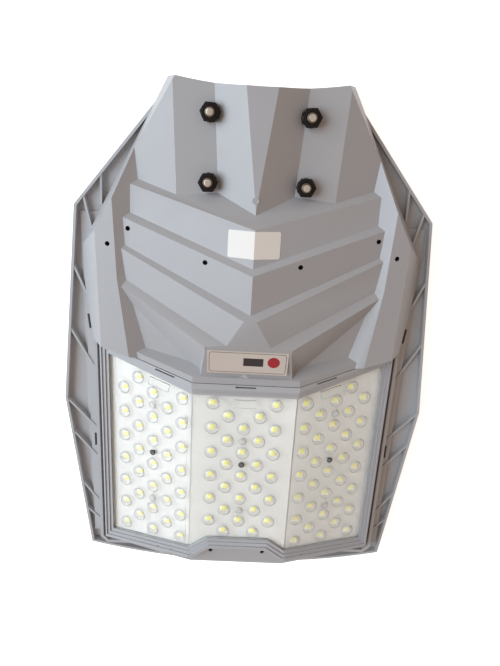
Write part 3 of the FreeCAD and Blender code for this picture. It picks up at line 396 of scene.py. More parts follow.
def place_piece(obj: bpy.types.Object, replaced: tuple[str, ...] = ()) -> None:
    """Hang a new piece on the root, hide the CAD nodes that it stands for, and log its faces.

    Args:
        obj: the new piece.
        replaced: CAD nodes that the piece stands for.
    """
    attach(obj, "root")
    if replaced:
        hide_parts(*replaced)
    log.info("%s: %d faces", obj.name, len(obj.data.polygons))


def new_object(name: str, mesh: bpy.types.Mesh) -> bpy.types.Object:
    """Link a new object to the scene."""
    obj = bpy.data.objects.new(name, mesh)
    bpy.context.scene.collection.objects.link(obj)
    return obj


def applied(obj: bpy.types.Object) -> bpy.types.Object:
    """Turn an object with modifiers into a plain mesh.

    Args:
        obj: the object, which keeps its name and loses its modifiers.

    Returns:
        The same object.
    """
    graph = bpy.context.evaluated_depsgraph_get()
    mesh = bpy.data.meshes.new_from_object(obj.evaluated_get(graph))
    obj.modifiers.clear()
    obj.data = mesh
    return obj


def smooth(mesh: bpy.types.Mesh, degrees: float) -> None:
    """Shade a mesh smooth, apart from edges sharper than an angle."""
    mesh.shade_smooth()
    mesh.set_sharp_from_angle(angle=math.radians(degrees))


@dataclass
class MouldedShell:
    """A moulded or pressed piece: the CAD form with its edges rounded.

    Attributes:
        node: name of the CAD node.
        kind: its finish.
        slot: name of a material slot; not used.
        edge: radius of its edges.
        crease: edges flatter than this angle stay as they are.
        merge: doubles closer than this are joined.
        shade: edges sharper than this angle are not shaded over.
    """

    node: str
    kind: Finishes
    slot: str
    edge: float = 0.0007
    crease: float = 12.0
    merge: float = 0.00001
    shade: float = 7.0

    def form(self) -> bpy.types.Mesh:
        """Copy the CAD mesh, join its loose triangles and melt its flat areas."""
        mesh = NODES[self.node].data.copy()
        form = bmesh.new()
        form.from_mesh(mesh)
        bmesh.ops.remove_doubles(form, verts=form.verts, dist=self.merge)
        bmesh.ops.dissolve_degenerate(form, edges=form.edges, dist=self.merge)
        bmesh.ops.dissolve_limit(
            form, angle_limit=math.radians(0.6), verts=form.verts, edges=form.edges, delimit=set()
        )
        form.to_mesh(mesh)
        form.free()
        return mesh

    def build(self) -> bpy.types.Object:
        """Round the edges and dress the piece.

        Returns:
            The finished piece.
        """
        obj = new_object(self.node + "_moulded", self.form())
        bevel = obj.modifiers.new("edges", "BEVEL")
        bevel.width = self.edge
        bevel.segments = 2
        bevel.limit_method = "ANGLE"
        bevel.angle_limit = math.radians(self.crease)
        bevel.use_clamp_overlap = True
        bevel.harden_normals = True
        smooth(obj.data, self.shade)
        applied(obj)
        wear(obj, self.kind)
        place_piece(obj, (self.node,))
        return obj


class Repeats:
    """Geometry Nodes that stand a copy of one form at every point of a mesh."""

    def __init__(self, name: str) -> None:
        """Build the tree.

        Args:
            name: the tree's name.
        """
        self.group = bpy.data.node_groups.new(name, "GeometryNodeTree")
        tree = Tree(self.group)
        face = self.group.interface
        face.new_socket("Points", in_out="INPUT", socket_type="NodeSocketGeometry")
        self.form = face.new_socket("Form", in_out="INPUT", socket_type="NodeSocketObject")
        self.size = face.new_socket("Size", in_out="INPUT", socket_type="NodeSocketFloat")
        self.wander = face.new_socket("Turn Wander", in_out="INPUT", socket_type="NodeSocketFloat")
        self.look = face.new_socket("Finish", in_out="INPUT", socket_type="NodeSocketMaterial")
        face.new_socket("Pieces", in_out="OUTPUT", socket_type="NodeSocketGeometry")
        start = tree.add("NodeGroupInput")
        end = tree.add("NodeGroupOutput")
        form = tree.add("GeometryNodeObjectInfo")
        tree.join(start.outputs["Form"], form.inputs["Object"])
        turn = tree.add("GeometryNodeInputNamedAttribute", data_type="FLOAT_VECTOR")
        turn.inputs["Name"].default_value = "turn"
        chance = tree.add("FunctionNodeRandomValue", data_type="FLOAT")
        chance.inputs["Seed"].default_value = 7
        low = tree.math("MULTIPLY", start.outputs["Turn Wander"], -1.0)
        tree.join(low, chance.inputs[2])
        tree.join(start.outputs["Turn Wander"], chance.inputs[3])
        spin = tree.add("ShaderNodeCombineXYZ")
        tree.join(chance.outputs[1], spin.inputs[2])
        stand = tree.add("GeometryNodeInstanceOnPoints")
        tree.join(start.outputs["Points"], stand.inputs["Points"])
        tree.join(form.outputs["Geometry"], stand.inputs["Instance"])
        tree.join(turn.outputs[0], stand.inputs["Rotation"])
        tree.join(start.outputs["Size"], stand.inputs["Scale"])
        about = tree.add("GeometryNodeRotateInstances")
        tree.join(stand.outputs[0], about.inputs["Instances"])
        tree.join(spin.outputs[0], about.inputs["Rotation"])
        real = tree.add("GeometryNodeRealizeInstances")
        tree.join(about.outputs[0], real.inputs[0])
        dress = tree.add("GeometryNodeSetMaterial")
        tree.join(real.outputs[0], dress.inputs["Geometry"])
        tree.join(start.outputs["Finish"], dress.inputs["Material"])
        tree.join(dress.outputs[0], end.inputs[0])

    def scatter(self, name: str, form: bpy.types.Mesh, points: list[Point], turns: list[Point],
                kind: Finishes, wander: float = 0.0) -> bpy.types.Object:
        """Stand the form at every point.

        Args:
            name: name of the new piece.
            form: mesh of one copy, in metres.
            points: where the copies stand.
            turns: Euler angles of each copy.
            kind: the finish.
            wander: how far each copy may turn about its own axis.

        Returns:
            The copies as one plain mesh.
        """
        mesh = bpy.data.meshes.new(name)
        mesh.from_pydata(points, [], [])
        attribute = mesh.attributes.new("turn", "FLOAT_VECTOR", "POINT")
        for item, turn in zip(attribute.data, turns):
            item.vector = turn
        obj = new_object(name, mesh)
        source = new_object(name + "_form", form)
        modifier = obj.modifiers.new("repeat", "NODES")
        modifier.node_group = self.group
        modifier[self.form.identifier] = source
        modifier[self.size.identifier] = 1.0
        modifier[self.wander.identifier] = wander
        modifier[self.look.identifier] = finish(kind)
        applied(obj)
        bpy.data.objects.remove(source)
        return obj


@dataclass
class Turned:
    """A form made by turning a profile, or by standing up a ring with bevelled ends.

    Attributes:
        profile: radius and height of each corner, from the foot to the top.
        sides: number of sides.
        flats: true where the radius is that of the flats and not of the corners.
    """

    profile: list[tuple[float, float]]
    sides: int = 24
    flats: bool = False

    def mesh(self, name: str) -> bpy.types.Mesh:
        """Build the closed form about the Z axis.

        Args:
            name: the mesh's name.

        Returns:
            The mesh, in metres.
        """
        form = bmesh.new()
        grow = 1 / math.cos(math.pi / self.sides) if self.flats else 1.0
        rings = []
        for radius, height in self.profile:
            ring = []
            for step in range(self.sides):
                angle = 2 * math.pi * step / self.sides
                ring.append(form.verts.new((grow * radius * math.cos(angle), grow * radius * math.sin(angle), height)))
            rings.append(ring)
        for lower, upper in zip(rings, rings[1:]):
            for step in range(self.sides):
                after = (step + 1) % self.sides
                form.faces.new((lower[step], lower[after], upper[after], upper[step]))
        form.faces.new(list(reversed(rings[0])))
        form.faces.new(rings[-1])
        mesh = bpy.data.meshes.new(name)
        form.to_mesh(mesh)
        form.free()
        smooth(mesh, 35.0)
        return mesh


def mm(*numbers: float) -> tuple[float, ...]:
    """Turn millimetres into metres."""
    return tuple(number / 1000 for number in numbers)


@dataclass
class LampFacets:
    """The three facets that lens, boards and emitters lie on, in millimetres.

    Attributes:
        height: height of the middle facet.
        fold: half width of the middle facet.
        tilt: fall of the side facets, in degrees.
    """

    height: float = 63.0
    fold: float = 46.2
    tilt: float = 19.2

    def at(self, x: float, y: float, lift: float) -> Point:
        """Find a place over or under the facets.

        Args:
            x: distance along the facets from the middle, measured on them.
            y: place along the head.
            lift: distance over the surface, square to it.

        Returns:
            The place, in metres.
        """
        side = math.copysign(1.0, x)
        past = abs(x) - self.fold
        if past <= 0:
            return mm(x, y, self.height + lift)
        angle = math.radians(self.tilt)
        flat = self.fold + past * math.cos(angle) + lift * math.sin(angle)
        return mm(side * flat, y, self.height - past * math.sin(angle) + lift * math.cos(angle))

    def turn(self, x: float) -> Point:
        """Give the turn of a copy that stands on the facets at one place."""
        if abs(x) <= self.fold:
            return 0.0, 0.0, 0.0
        return 0.0, math.copysign(math.radians(self.tilt), x), 0.0


@dataclass
class EmitterField:
    """The emitters of the three boards, in staggered columns.

    Attributes:
        facets: the facets that the boards follow.
        repeats: the tree that stands the copies.
        row: pitch of the rows.
        side_first: first row on the side facets.
        centre_first: first row on the middle facet.
        side_columns: distance past the fold, count and half rows of stagger of each column.
        centre_columns: place, count and half rows of stagger of each column.
        depth: depth of the boards' face under the facets.
    """

    facets: LampFacets
    repeats: Repeats
    row: float = 24.5
    side_first: float = -28.25
    centre_first: float = -29.7
    side_columns: tuple = ((10.1, 7, 0), (24.6, 6, 1), (39.1, 7, 0), (53.6, 7, -1), (68.1, 7, 0))
    centre_columns: tuple = ((-28.2, 6, 0), (-14.1, 6, 1), (0.0, 5, 2), (14.1, 6, 1), (28.2, 6, 0))
    depth: float = 3.8

    def places(self, name: str) -> list[tuple[float, float]]:
        """List the emitters of one board.

        Args:
            name: left, centre or right.

        Returns:
            Distance along the facets and place along the head of each.
        """
        if name == "centre":
            columns, first, side, start = self.centre_columns, self.centre_first, 1, 0.0
        else:
            side = 1 if name == "right" else -1
            columns, first, start = self.side_columns, self.side_first, self.facets.fold
        return [
            (side * (start + out), first - self.row * (index + shift / 2))
            for out, count, shift in columns
            for index in range(count)
        ]

    def build(self) -> None:
        """Stand white packages on the boards, with a low yellow dome in each."""
        for name in ("left", "centre", "right"):
            places = self.places(name)
            turns = [self.facets.turn(x) for x, _ in places]
            low = [self.facets.at(x, y, -self.depth) for x, y in places]
            body = Turned([mm(2.45, 0.0), mm(2.45, 0.72), mm(2.3, 0.8)], sides=4, flats=True)
            package = self.repeats.scatter(f"emitter_packages_{name}", body.mesh("package"), low,
                                           [(a, b, c + math.pi / 4) for a, b, c in turns], Finishes.PACKAGE)
            glow = Turned([mm(2.15, 0.3), mm(2.15, 0.9), mm(1.75, 1.2), mm(0.95, 1.38)], sides=12)
            yellow = self.repeats.scatter(f"emitter_phosphor_{name}", glow.mesh("phosphor"), low, turns,
                                          Finishes.PHOSPHOR)
            place_piece(package, (f"emitters_{name}",))
            place_piece(yellow)


@dataclass
class ClampHardware:
    """Bolts, washers and nuts in the neck.

    Attributes:
        repeats: the tree that stands the copies.
        half_x: half the spacing across.
        half_y: half the spacing along.
        centre_y: middle of the pattern.
        land: height of the land that the washers lie on.
        tip: height of the bolts' ends.
    """

    repeats: Repeats
    half_x: float = 39.0
    half_y: float = 26.0
    centre_y: float = 183.0
    land: float = 46.0
    tip: float = 56.9

    def points(self, height: float) -> list[Point]:
        """List the four places at one height."""
        return [
            mm(i * self.half_x, self.centre_y + j * self.half_y, height) for i in (-1, 1) for j in (-1, 1)
        ]

    def build(self) -> None:
        """Stand the nuts with turned corners and the shiny bolt ends in them."""
        turns = [(0.0, 0.0, a) for a in (0.57, 0.46, 0.55, 0.60)]
        nut = self.nut_mesh()
        nuts = self.repeats.scatter("nuts_turned", nut, self.points(self.land + 1.6), turns, Finishes.BLACK_STEEL)
        place_piece(nuts, ("clamp_nuts",))
        # The threads wear the darker steel as painted shade inside the nuts.
        bolts = self.repeats.scatter("bolts_turned", self.bolt_mesh(), self.points(0.0), turns,
                                     Finishes.SHADED_THREAD_STEEL)
        place_piece(bolts, ("clamp_bolts",))
        end = Turned([mm(2.75, self.tip - 0.25), mm(2.75, self.tip), mm(2.3, self.tip + 0.12), mm(0.9, self.tip + 0.2)],
                     sides=24).mesh("bolt_end")
        ends = self.repeats.scatter("bolt_ends_bright", end, self.points(0.0), turns, Finishes.PLATED_STEEL)
        place_piece(ends)
        hexagon = Turned([mm(6.6, 0.7), mm(7.0, 1.15), mm(7.0, 6.0)], sides=6, flats=True).mesh("bolt_head")
        heads = self.repeats.scatter("bolt_heads", hexagon, self.points(0.0), [(0.0, 0.0, 0.0)] * len(turns),
                                     Finishes.BRIGHT_STEEL)
        place_piece(heads)
        wear(NODES["clamp_washers"], Finishes.BLACK_STEEL)

    def bolt_mesh(self) -> bpy.types.Mesh:
        """Build the shank of one bolt with the first threads of its end.

        Returns:
            The mesh, in metres.
        """
        mouth = self.land + 8.1
        shank = [mm(4.0, 4.0), mm(4.0, mouth + 0.2)]
        for turn in range(2):
            shank += [mm(3.3, mouth + 0.5 + 0.8 * turn), mm(3.9, mouth + 0.9 + 0.8 * turn)]
        shank += [mm(3.3, mouth + 2.1), mm(3.4, self.tip - 0.3), mm(2.9, self.tip - 0.05)]
        return Turned(shank, sides=28).mesh("bolt")

    def nut_mesh(self) -> bpy.types.Mesh:
        """Build one nut with a bore, domed corners and a chamfered mouth.

        Returns:
            The mesh, in metres.
        """
        form = bmesh.new()
        steps = 48
        flats, height, bore = 7.0, 6.5, 4.05
        outer_low, outer_high, rim, mouth, bottom, base = [], [], [], [], [], []
        for step in range(steps):
            angle = 2 * math.pi * step / steps
            to_flat = (angle + math.pi / 6) % (math.pi / 3) - math.pi / 6
            reach = flats / math.cos(to_flat)
            drop = 0.55 * (reach - flats)
            cos, sin = math.cos(angle), math.sin(angle)
            for ring, radius, z in (
                (outer_low, reach, 0.3), (outer_high, reach, height - drop), (rim, flats - 0.1, height),
                (mouth, bore + 0.5, height), (bottom, bore, height - 0.5), (base, bore, 0.0),
            ):
                ring.append(form.verts.new(mm(radius * cos, radius * sin, z)))
        foot = [form.verts.new((v.co.x * 0.985, v.co.y * 0.985, 0.0)) for v in outer_low]
        rings = [base, foot, outer_low, outer_high, rim, mouth, bottom, base]
        for lower, upper in zip(rings, rings[1:]):
            for step in range(steps):
                after = (step + 1) % steps
                form.faces.new((lower[step], lower[after], upper[after], upper[step]))
        bmesh.ops.recalc_face_normals(form, faces=form.faces)
        mesh = bpy.data.meshes.new("nut")
        form.to_mesh(mesh)
        form.free()
        smooth(mesh, 25.0)
        return mesh


@dataclass
class SmallScrews:
    """The small screws that show: round heads with a socket, sunk in the shells or down on the lens.

    Attributes:
        facets: the facets that the lens follows.
        repeats: the tree that stands the copies.
        cover: places of the cover's screws on one side.
        lip: place of the lip's screw on one side.
        lens: distance along the facets and place along the head of the lens's screws.
        head_height: height of the sunk heads.
    """

    facets: LampFacets
    repeats: Repeats
    cover: tuple[tuple[float, float], ...] = ((121.1, 103.1), (104.4, 116.2), (38.4, 96.0))
    lip: tuple[tuple[float, float], ...] = ((25.2, -189.3),)
    lens: tuple[tuple[float, float], ...] = ((0.0, -90.9), (85.3, -89.5), (-85.3, -89.5))
    head_height: float = 1.2

    def seat(self, node: str, x: float, y: float) -> Point:
        """Find where the underside of one screw's head lies in the CAD.

        Args:
            node: name of the CAD node.
            x: place across the head.
            y: place along the head.

        Returns:
            The point, in metres.
        """
        spot = Vector(mm(x, y)).to_2d()
        near = [vertex.co.z for vertex in NODES[node].data.vertices if (vertex.co.to_2d() - spot).length < 0.003]
        return spot.x, spot.y, max(near) - self.head_height / 1000

    def head(self, name: str, radius: float, length: float, top: float, base: float = 0.0) -> bpy.types.Mesh:
        """Turn one screw that stands on the underside of its head.

        Args:
            name: the mesh's name.
            radius: radius of the head, in millimetres.
            length: length of the shank.
            top: height of the head's top.
            base: height of the underside.

        Returns:
            The closed form.
        """
        socket = 0.42 * radius
        return Turned([
            mm(1.2, -length), mm(1.2, base), mm(radius, base), mm(radius, top - 0.25), mm(radius - 0.2, top),
            mm(socket + 0.1, top + 0.05), mm(socket, top - 0.1), mm(socket, top - 0.8)
        ], sides=24).mesh(name)

    def build(self) -> None:
        """Stand the sunk screws, and the lens's screws on dark rings that paint the shadow gap round their heads."""
        for name, places in (("cover_screws", self.cover), ("lip_screws", self.lip)):
            points = [self.seat(name, side * x, y) for x, y in places for side in (-1, 1)]
            turns = [(0.0, 0.0, 0.3 * index) for index in range(len(points))]
            screws = self.repeats.scatter(name + "_turned", self.head(name, 2.05, 13.9, self.head_height), points, turns,
                                          Finishes.BLACK_SCREW)
            place_piece(screws, (name,))
        points = [self.facets.at(x, y, 0.0) for x, y in self.lens]
        turns = [self.facets.turn(x) for x, _ in self.lens]
        screws = self.repeats.scatter("plate_screws_turned", self.head("plate", 2.1, 8.9, 1.15, 0.3), points, turns,
                                      Finishes.DARK_STEEL)
        place_piece(screws, ("plate_screws",))
        # Painted shadow: a dark ring under each lens screw for the shadow gap round its head.
        ring = Turned([mm(2.8, 0.0), mm(2.8, 0.22), mm(2.65, 0.32)], sides=24).mesh("screw_shade_ring")
        shade_rings = self.repeats.scatter("plate_screw_washers", ring, points, turns, Finishes.BLACK_STEEL)
        place_piece(shade_rings)


@dataclass
class MouldMarks:
    """What the mould leaves: a round gate mark on the ridge, and small pits in the foot of the frame, drawn as dark
    discs that paint the shade in each pit.

    Attributes:
        repeats: the tree that stands the copies.
        gate: place of the gate mark in plan.
        pits: places of the pits in plan.
    """

    repeats: Repeats
    gate: tuple[float, float] = (-0.5, 145.9)
    pits: tuple[tuple[float, float], ...] = ((-77.1, -191.5), (-63.6, -191.0), (63.6, -191.0))

    def drop(self, node: str, places: tuple[tuple[float, float], ...]) -> tuple[list[Point], list[Point]]:
        """Find the top of a node over some places.

        Args:
            node: name of the CAD node.
            places: places in plan, in millimetres.

        Returns:
            The points on its surface, and the turns that stand a form square to it.
        """
        mesh = NODES[node].data
        tree = BVHTree.FromPolygons([v.co for v in mesh.vertices], [p.vertices for p in mesh.polygons])
        points, turns = [], []
        for x, y in places:
            point, normal, _, _ = tree.ray_cast(Vector((x / 1000, y / 1000, 1.0)), Vector((0.0, 0.0, -1.0)))
            if point is not None:
                points.append(tuple(point))
                turns.append(tuple(normal.to_track_quat("Z", "Y").to_euler()))
        return points, turns

    def build(self) -> None:
        """Lay the gate mark, and lay a dark disc at each pit as its painted shade."""
        points, turns = self.drop("front_cover", (self.gate,))
        dish = Turned([mm(2.7, -0.1), mm(2.7, 0.1), mm(2.45, 0.16), mm(2.2, 0.1), mm(2.1, 0.03)], sides=32)
        gate = self.repeats.scatter("gate_mark", dish.mesh("gate"), points, turns, Finishes.COVER)
        place_piece(gate)
        points, turns = self.drop("lamp_bezel", self.pits)
        # Painted shade: each pit is a flat black disc, not a hole.
        pit = Turned([mm(0.75, -0.3), mm(0.75, 0.05)], sides=12)
        pits = self.repeats.scatter("foot_pits", pit.mesh("pit"), points, turns, Finishes.BLACK_PLASTIC)
        place_piece(pits)


@dataclass
class PaperLabel:
    """The bare paper label, folded over the keel of the first band, with rounded corners.

    Attributes:
        half: half its width.
        foot: its lower edge along the head.
        top: its upper edge.
        corner: radius of its corners.
        keel: height of the band at the keel over the middle of the head.
        fall: slope of the band to the sides.
        rise: slope of the band along the head.
        thickness: thickness of the paper.
    """

    half: float = 20.8
    foot: float = 102.1
    top: float = 123.6
    corner: float = 1.6
    keel: float = 73.6 + 0.080 * 124.5
    fall: float = -0.338
    rise: float = -0.080
    thickness: float = 0.25

    def outline(self, side: int) -> list[tuple[float, float]]:
        """List the corners of one half, from the keel's top to its foot."""
        ring = [(0.0, self.top)]
        for quarter, middle in ((1, self.top - self.corner), (0, self.foot + self.corner)):
            for step in range(6):
                angle = math.radians(90 * quarter - 18 * step)
                reach = self.half - self.corner + self.corner * math.cos(angle)
                ring.append((side * reach, middle + self.corner * math.sin(angle)))
        return ring + [(0.0, self.foot)]

    def build(self) -> None:
        """Fold the sheet over the keel and dress it."""
        form = bmesh.new()
        for side in (-1, 1):
            ring = self.outline(side)
            levels = [
                [form.verts.new(mm(x, y, self.keel + self.fall * abs(x) + self.rise * y + lift)) for x, y in ring]
                for lift in (0.0, self.thickness)
            ]
            for step in range(len(ring) - 1):
                form.faces.new((levels[0][step], levels[0][step + 1], levels[1][step + 1], levels[1][step]))
            form.faces.new(levels[0])
            form.faces.new(levels[1])
        bmesh.ops.remove_doubles(form, verts=form.verts, dist=0.000001)
        bmesh.ops.recalc_face_normals(form, faces=form.faces)
        mesh = bpy.data.meshes.new("paper")
        form.to_mesh(mesh)
        form.free()
        sheet = new_object("paper_rounded", mesh)
        wear(sheet, Finishes.PAPER)
        place_piece(sheet, ("paper_sticker",))


@dataclass
class RatingLabel:
    """The blank label in the pocket: a film with a thin rounded border and plain fields.

    Attributes:
        half: half width of the film.
        foot: its lower edge along the head.
        top: its upper edge.
        rise: slope of the block's front.
        base: height of the front over the centre of the head.
    """

    half: float = 34.0
    foot: float = 2.6
    top: float = 25.0
    rise: float = 0.265
    base: float = 69.5 + 0.265 * 1.4

    def lifted(self, x: float, y: float, lift: float) -> Point:
        """Find a place over the film, in metres."""
        depth = 0.5 * math.hypot(1.0, self.rise)
        return mm(x, y, self.base + self.rise * y - depth + lift)

    def rounded(self, half_x: float, half_y: float, radius: float) -> list[tuple[float, float]]:
        """List the corners of a rounded rectangle about the film's middle.

        Args:
            half_x: half its width.
            half_y: half its length.
            radius: radius of its corners.

        Returns:
            Points anticlockwise.
        """
        middle = (self.foot + self.top) / 2
        ring = []
        for quarter, (i, j) in enumerate(((1, 1), (-1, 1), (-1, -1), (1, -1))):
            for step in range(7):
                angle = math.radians(90 * quarter + 15 * step)
                ring.append((i * (half_x - radius) + radius * math.cos(angle),
                             middle + j * (half_y - radius) + radius * math.sin(angle)))
        return ring

    def sheet(self, name: str, outer: list[tuple[float, float]], inner: list[tuple[float, float]],
              low: float, high: float) -> bpy.types.Mesh:
        """Stand up a thin ring or plate on the film.

        Args:
            name: the mesh's name.
            outer: outer outline.
            inner: inner outline, or an empty list for a plate.
            low: height of its underside over the film.
            high: height of its face.

        Returns:
            The closed mesh.
        """
        form = bmesh.new()
        loops = []
        for outline in (outer, inner) if inner else (outer,):
            loops.append([[form.verts.new(self.lifted(x, y, z)) for x, y in outline] for z in (low, high)])
        for index, (bottom, top) in enumerate(loops):
            count = len(bottom)
            for step in range(count):
                after = (step + 1) % count
                form.faces.new((bottom[step], bottom[after], top[after], top[step]))
        if inner:
            for level in (0, 1):
                for step in range(len(outer)):
                    after = (step + 1) % len(outer)
                    form.faces.new((loops[0][level][step], loops[0][level][after],
                                    loops[1][level][after], loops[1][level][step]))
        else:
            form.faces.new(loops[0][0])
            form.faces.new(loops[0][1])
        bmesh.ops.recalc_face_normals(form, faces=form.faces)
        mesh = bpy.data.meshes.new(name)
        form.to_mesh(mesh)
        form.free()
        return mesh

    def field(self, left: float, right: float, low: float, high: float) -> list[tuple[float, float]]:
        """Give the outline of a plain block on the film."""
        return [(left, low), (right, low), (right, high), (left, high)]

    def disc(self, x: float, y: float, radius: float) -> list[tuple[float, float]]:
        """Give the outline of a round spot on the film."""
        turns = [2 * math.pi * step / 32 for step in range(32)]
        return [(x + radius * math.cos(turn), y + radius * math.sin(turn)) for turn in turns]

    def build(self) -> None:
        """Dress the film and lay the border and the fields on it."""
        wear(NODES["rating_sticker"], Finishes.LABEL)
        half_y = (self.top - self.foot) / 2
        border = new_object("label_border", self.sheet(
            "border", self.rounded(self.half - 1.6, half_y - 1.4, 2.4), self.rounded(self.half - 2.0, half_y - 1.8, 2.0),
            0.0, 0.03))
        wear(border, Finishes.INK)
        place_piece(border)
        blocks = {
            "label_window": (Finishes.INK, self.field(-3.6, 13.2, 10.8, 18.6)),
            "label_spot": (Finishes.RED_INK, self.disc(21.9, 15.2, 5.2)),
        }
        for name, (kind, outline) in blocks.items():
            block = new_object(name, self.sheet(name, outline, [], 0.0, 0.03))
            wear(block, kind)
            place_piece(block)


def dress_inner() -> None:
    """Give every carried-over CAD node its own finish."""
    looks = {
        Finishes.CELLS: ("solar_panel",),
        Finishes.RUBBER: ("panel_seal", "panel_lead", "battery_lead", "lamp_lead"),
        Finishes.SILICONE: ("lens_gasket",),
        Finishes.ALUMINIUM: ("board_carrier",),
        Finishes.BRIGHT_STEEL: ("carrier_screws", "pole_strap", "cell_tabs", "bridge_screws", "controller_screws"),
        Finishes.BOARD: ("board_left", "board_centre", "board_right"),
        Finishes.SLEEVE: ("battery_cells",),
        Finishes.BLACK_PLASTIC: ("holder_near", "holder_far", "battery_bridge", "panel_terminal_box"),
        Finishes.SOLDER_MASK: ("controller_board",),
        Finishes.FERRITE: ("controller_coil",),
        Finishes.CAN: ("controller_capacitors",),
        Finishes.TERMINAL: ("controller_terminals",),
    }
    for kind, names in looks.items():
        for name in names:
            wear(NODES[name], kind)


@dataclass
class LensPlate:
    """The clear plate in three facets, with a round dome over each emitter.

    Attributes:
        facets: the facets that the plate follows.
        repeats: the tree that stands the copies.
        emitters: the emitters that the domes stand over.
        node: name of the CAD node.
        dome: radius and height of a dome, in millimetres.
        pip: radius and height of a locating pip.
        pip_places: distance along the facets and place along the head of each pip.
        root: how deep the domes start under the face.
    """

    facets: LampFacets
    repeats: Repeats
    emitters: EmitterField
    node: str = "lens_plate"
    dome: tuple[float, float] = (5.6, 2.4)
    pip: tuple[float, float] = (3.4, 1.4)
    pip_places: tuple = (
        (0.0, -66.5), (0.0, -139.9), (-85.3, -40.5), (-85.3, -139.5), (85.3, -40.5), (85.3, -139.5)
    )
    root: float = 0.5

    def under(self, x: float, y: float, z: float) -> tuple[float, float]:
        """Find how far along the facets and how high over them a place is.

        Args:
            x: place across the head in millimetres.
            y: place along the head.
            z: height over the floor.

        Returns:
            Distance along the facets from the middle, and height over their face.
        """
        past = abs(x) - self.facets.fold
        drop = self.facets.height - z
        angle = math.radians(self.facets.tilt)
        if past * math.cos(angle) + drop * math.sin(angle) <= 0:
            return x, -drop
        along = past * math.cos(angle) + drop * math.sin(angle)
        lift = past * math.sin(angle) - drop * math.cos(angle)
        return math.copysign(self.facets.fold + along, x), lift

    def plate(self, places: list[tuple[float, float]]) -> bpy.types.Mesh:
        """Copy the CAD plate and press its flat-sided domes back into its face.

        Args:
            places: distance along the facets and place along the head of each dome.

        Returns:
            The plate with its bars and holes.
        """
        mesh = NODES[self.node].data.copy()
        form = bmesh.new()
        form.from_mesh(mesh)
        bmesh.ops.remove_doubles(form, verts=form.verts, dist=0.000005)
        for vertex in form.verts:
            x, y, z = (1000 * part for part in vertex.co)
            along, lift = self.under(x, y, z)
            if lift > 0.02 and any(math.hypot(along - u, y - v) < self.dome[0] + 0.2 for u, v in places):
                vertex.co = self.facets.at(along, y, 0.0)
        bmesh.ops.dissolve_limit(
            form, angle_limit=math.radians(0.6), verts=form.verts, edges=form.edges, delimit=set()
        )
        form.to_mesh(mesh)
        form.free()
        return mesh

    def cap(self, radius: float, height: float) -> bpy.types.Mesh:
        """Turn one round cap that starts a little under the face.

        Args:
            radius: radius at the face, in millimetres.
            height: height over the face.

        Returns:
            The closed form.
        """
        ball = (radius * radius + height * height) / (2 * height)
        reach = math.asin(radius / ball)
        profile = [mm(radius + 0.5, -self.root), mm(radius + 0.5, 0.1), mm(radius, 0.22)]
        for step in (0.88, 0.64, 0.4, 0.15):
            angle = reach * step
            profile.append(mm(ball * math.sin(angle), ball * math.cos(angle) - ball + height))
        return Turned(profile, sides=20).mesh("cap")

    def paint_root_shade(self, plate: bpy.types.Object, places: list[tuple[float, float, float, float]]) -> None:
        """Paint shade on the steep root of every dome and on the walls of the bars, with the grey root finish.

        Args:
            plate: the plate with its domes.
            places: distance along the facets, place along the head, radius and clear share of each dome.
        """
        plate.data.materials.append(finish(Finishes.CLEAR_ROOT_SHADE))
        for face in plate.data.polygons:
            along, lift = self.under(*(1000 * part for part in face.center))
            if lift < 0.02:
                continue
            root = any(
                share * size < math.hypot(along - x, face.center.y * 1000 - y) < size + 0.6
                for x, y, size, share in places
            )
            # Painted shade: the grey root finish on dome roots and on steep bar walls.
            if root or abs(face.normal.z) < 0.5:
                face.material_index = 1

    def add(self, plate: bpy.types.Object, caps: bpy.types.Object) -> None:
        """Make the caps one with the plate."""
        union = plate.modifiers.new("caps", "BOOLEAN")
        union.operation = "UNION"
        union.solver = "MANIFOLD"
        union.object = caps
        applied(plate)
        bpy.data.objects.remove(caps)

    def build(self) -> None:
        """Press, dome and dress the plate."""
        domes = [place for name in ("left", "centre", "right") for place in self.emitters.places(name)]
        pips = list(self.pip_places)
        plate = new_object("lens_clear", self.plate(domes + pips))
        for name, size, places in (("domes", self.dome, domes), ("pips", self.pip, pips)):
            points = [self.facets.at(x, y, 0.0) for x, y in places]
            turns = [self.facets.turn(x) for x, _ in places]
            self.add(plate, self.repeats.scatter(name, self.cap(*size), points, turns, Finishes.CLEAR))
        smooth(plate.data, 16.0)
        wear(plate, Finishes.CLEAR)
        sized = [(x, y, self.dome[0], 0.84) for x, y in domes] + [(x, y, self.pip[0], 0.76) for x, y in pips]
        self.paint_root_shade(plate, sized)
        place_piece(plate, (self.node,))


